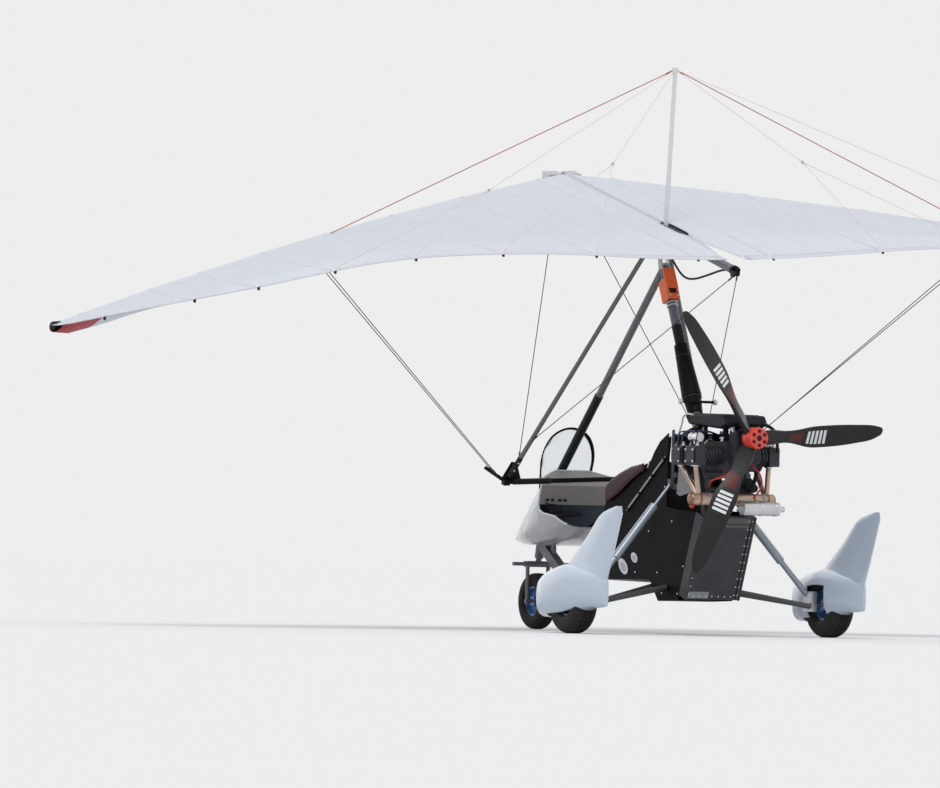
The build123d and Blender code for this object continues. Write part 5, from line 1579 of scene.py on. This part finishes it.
def make_mast_dress():
    """The clamp's window, straps and bolts, and the mast's sleeve and bands."""
    mast = MAST_TOP - MAST_KNEE
    axis = mast / np.linalg.norm(mast)
    back = np.array([0, axis[2], -axis[1]])
    centre = MAST_KNEE + CLAMP_PART * mast

    def on_mast(low, high):
        """A block in the mast's own frame: across, aft and up along the mast, about the clamp."""
        points, faces = block(low, high)
        return centre + points @ np.array([[1, 0, 0], back, axis]), faces

    window = [on_mast((-0.022, 0.037, -0.030), (0.022, 0.0425, 0.022)),
              on_mast((-0.030, -0.020, -0.068), (0.030, 0.034, -0.064))]
    piece("clamp_window", joined(window), "trim_black", "trike", bevel=0.001)
    turn = np.linspace(0, 2 * pi, 40)[:, None]
    loop = MAST_KNEE + 0.80 * mast + 0.0315 * (np.cos(turn) * [1, 0, 0] + np.sin(turn) * back)
    bolts = [pipe(loop, 0.0032, 10), pipe(loop + 0.022 * axis, 0.0032, 10)]
    bolts += [nut(centre + [x, 0, 0] + 0.0400 * back + up * axis, back, 0.0065)
              for x in (-0.026, 0.026) for up in (-0.045, 0.040)]
    piece("clamp_bolts", joined(bolts), "rivet_steel", "trike")
    sleeve = [pipe(MAST_KNEE + np.linspace(0.60, 0.70, 8)[:, None] * mast, 0.0305, 32)]
    sleeve += [band(MAST_KNEE + (z - 1.0) / 1.15 * mast, axis, 0.006, width, width + 0.003)
               for z, width in ((1.38, 0.0545), (1.62, 0.0425))]
    piece("mast_sleeve", joined(sleeve), "trim_black", "trike")


def make_body():
    """The radiator's bands and rivets, the body's badges and trim, the clamp's and mast's dress."""
    make_radiator()
    piece("body_rivets", joined(body_rivets()), "rivet_steel", "trike")
    make_body_sides()
    make_mast_dress()
    ends = [turned([(-0.010, 0.012), (-0.006, 0.0165), (0.006, 0.0165), (0.010, 0.012)],
                   (x, 0.678, 1.359), (1, 0, 0), 24) for x in (-0.116, 0.116)]
    piece("cross_bar_knobs", joined(ends), "badge_white", "trike")
    knobs = [turned([(0, 0.009), (0.004, 0.009), (0.005, 0.004), (0.016, 0.005)],
                    (x, -0.652, 0.774), (0, 1, -0.16), 14) for x in (0.250, 0.215, 0.165, 0.130)]
    knobs.append(hose([(0.262, -0.652, 0.755), (0.235, -0.650, 0.748), (0.190, -0.652, 0.745),
                       (0.160, -0.656, 0.728), (0.140, -0.660, 0.704)], 0.003, 8, 24))
    piece("dash_knobs", joined(knobs), "trim_black", "trike")
    lines = [hose([(0.70 * m, 0.74, 0.300), (0.52 * m, 0.72, 0.500), (0.30 * m, 0.695, 0.750)],
                  0.0042, 8, 24) for m in (1, -1)]
    piece("brake_lines", joined(lines), "trim_black", "trike")
    path = STRUT_FOOT + np.linspace(0.05, 0.46, 30)[:, None] * (MAST_TOP - STRUT_FOOT)
    piece("strut_sleeve", pipe(path, 0.0265, 28, up=(1, 0, 0)), "trim_black", "trike")


def make_tubes():
    """The control frame's side tubes, with their end plugs and bolts."""
    plugs, bolts = [], []
    for name, m in zip(("left", "right"), FLIPS):
        def along(parts):
            """Points at parts of the way down the tube."""
            return on_wing((APEX + np.reshape(parts, (-1, 1)) * (CORNER - APEX)) * m)

        piece("downtube_skin_" + name,
              pipe(along(np.linspace(0.012, 0.975, 60)), 0.014, 28, up=(0, 1, 0)),
              "downtube_anodised", "wing", ("downtube_" + name,))
        plugs += [pipe(along(ends), 0.0165, 24, up=(0, 1, 0))
                  for ends in ((0.90, 0.978), (0.010, 0.045))]
        bolts += [turned([(-0.021, 0.005), (-0.0205, 0.007), (0.0205, 0.007), (0.021, 0.005)],
                         along(at)[0], (0, 1, 0.1), 6) for at in (0.925, 0.955, 0.028)]
    piece("downtube_plugs", joined(plugs), "tube_plug", "wing")
    piece("downtube_bolts", joined(bolts), "tube_bolt", "wing")


# Carried-over pieces

# Each row: a finish, and the model's pieces that wear it.
WORN = {
    "tube_anodised": ("chassis_beam", "mast", "front_strut", "pod_frame", "seat_frame", "fork",
                      "keel_tube"),
    "leg_enamel": ("leg_left", "leg_right"),
    "arm_enamel": ("lower_arms_left", "lower_arms_right", "engine_mount"),
    "fitting_metal": ("mast_head", "hang_block", "hub_carrier_left", "hub_carrier_right",
                      "a_frame_head", "nose_cap"),
    "kingpost_silver": ("kingpost",),
    "black_plastic": ("mast_fairing", "base_bar", "keel_tail", "windscreen_rim"),
    "clamp_orange": ("mast_clamp",),
    "cast_metal": ("engine_block", "cylinders"),
    "heated_steel": ("exhaust",),
    "silencer_steel": ("silencer",),
    "radiator_sheet": ("radiator",),
    "dash_panel": ("dash_panel",),
    "carburettor_silver": ("carburettors",),
    "fairing_gloss": ("tail_fairing",),
    "rim_paint": ("front_rim", "rear_rim_left", "rear_rim_right"),
    "hub_red": ("propeller_hub",),
}


def make_finishes():
    """The finishes of every piece that is carried over from the model."""
    worn = [(node, look(name)) for name, nodes in WORN.items() for node in nodes]
    for node, material in [*worn, ("windscreen", clear_screen((0.9, 0.93, 0.95)))]:
        NODES[node].data.materials.clear()
        NODES[node].data.materials.append(material)


# Operators

class MICROLIGHT_OT_stage(bpy.types.Operator):
    """Makes the camera, floor, world and lamps"""
    bl_idname = "microlight.stage"
    bl_label = "Stage"

    def execute(self, context):
        make_camera()
        make_stage()
        return {"FINISHED"}


class MICROLIGHT_OT_cord(bpy.types.Operator):
    """Makes the slack cord under the keel"""
    bl_idname = "microlight.cord"
    bl_label = "Keel cord"

    def execute(self, context):
        make_keel_cord()
        return {"FINISHED"}


class MICROLIGHT_OT_finishes(bpy.types.Operator):
    """Gives every carried-over piece its finish"""
    bl_idname = "microlight.finishes"
    bl_label = "Finishes"

    def execute(self, context):
        make_finishes()
        return {"FINISHED"}


class MICROLIGHT_OT_sails(bpy.types.Operator):
    """Makes both halves of the sail with their battens and hems"""
    bl_idname = "microlight.sails"
    bl_label = "Sails"

    def execute(self, context):
        make_sails()
        return {"FINISHED"}


class MICROLIGHT_OT_shells(bpy.types.Operator):
    """Makes the pod's skin and the wheel spats"""
    bl_idname = "microlight.shells"
    bl_label = "Shells"

    def execute(self, context):
        make_shells()
        return {"FINISHED"}


class MICROLIGHT_OT_wheels(bpy.types.Operator):
    """Makes the grooved tyres and the rims' nuts"""
    bl_idname = "microlight.wheels"
    bl_label = "Wheels"

    def execute(self, context):
        make_wheels()
        return {"FINISHED"}


class MICROLIGHT_OT_propeller(bpy.types.Operator):
    """Makes the propeller's blades and bolts"""
    bl_idname = "microlight.propeller"
    bl_label = "Propeller"

    def execute(self, context):
        make_propeller()
        return {"FINISHED"}


class MICROLIGHT_OT_seats(bpy.types.Operator):
    """Makes the seats' pads, piping and shells"""
    bl_idname = "microlight.seats"
    bl_label = "Seats"

    def execute(self, context):
        make_seats()
        return {"FINISHED"}


class MICROLIGHT_OT_rigging(bpy.types.Operator):
    """Makes the stays, the luff lines and the wing's fittings"""
    bl_idname = "microlight.rigging"
    bl_label = "Rigging"

    def execute(self, context):
        make_rigging()
        return {"FINISHED"}


class MICROLIGHT_OT_tubes(bpy.types.Operator):
    """Makes the control frame's side tubes"""
    bl_idname = "microlight.tubes"
    bl_label = "Side tubes"

    def execute(self, context):
        make_tubes()
        return {"FINISHED"}


class MICROLIGHT_OT_engine(bpy.types.Operator):
    """Makes the engine's covers, leads, hoses and bands"""
    bl_idname = "microlight.engine"
    bl_label = "Engine"

    def execute(self, context):
        make_engine()
        return {"FINISHED"}


class MICROLIGHT_OT_body(bpy.types.Operator):
    """Makes the body's trim, the radiator's rivets and the dash"""
    bl_idname = "microlight.body"
    bl_label = "Body trim"

    def execute(self, context):
        make_body()
        return {"FINISHED"}


OPERATORS = (MICROLIGHT_OT_stage, MICROLIGHT_OT_cord, MICROLIGHT_OT_finishes, MICROLIGHT_OT_sails,
             MICROLIGHT_OT_shells, MICROLIGHT_OT_wheels, MICROLIGHT_OT_propeller,
             MICROLIGHT_OT_seats, MICROLIGHT_OT_rigging, MICROLIGHT_OT_tubes,
             MICROLIGHT_OT_engine, MICROLIGHT_OT_body)


class MICROLIGHT_PT_panel(bpy.types.Panel):
    """Lists the microlight's groups of pieces"""
    bl_label = "Microlight"
    bl_idname = "MICROLIGHT_PT_panel"
    bl_space_type = "VIEW_3D"
    bl_region_type = "UI"
    bl_category = "Microlight"

    def draw(self, context):
        for group in (context.scene.microlight_colours, context.scene.microlight_sizes):
            for name in group.bl_rna.properties.keys():
                if name not in ("rna_type", "name"):
                    self.layout.prop(group, name)
        for operator in OPERATORS:
            self.layout.operator(operator.bl_idname)


CLASSES = (MicrolightColours, MicrolightSizes, *OPERATORS, MICROLIGHT_PT_panel)


def register():
    for each in CLASSES:
        bpy.utils.register_class(each)
    bpy.types.Scene.microlight_colours = PointerProperty(type=MicrolightColours)
    bpy.types.Scene.microlight_sizes = PointerProperty(type=MicrolightSizes)


def unregister():
    del bpy.types.Scene.microlight_sizes
    del bpy.types.Scene.microlight_colours
    for each in reversed(CLASSES):
        bpy.utils.unregister_class(each)


def main():
    """Makes every group of pieces in order."""
    register()
    for operator in OPERATORS:
        group, name = operator.bl_idname.split(".")
        getattr(getattr(bpy.ops, group), name)()


if __name__ == "__main__":
    main()
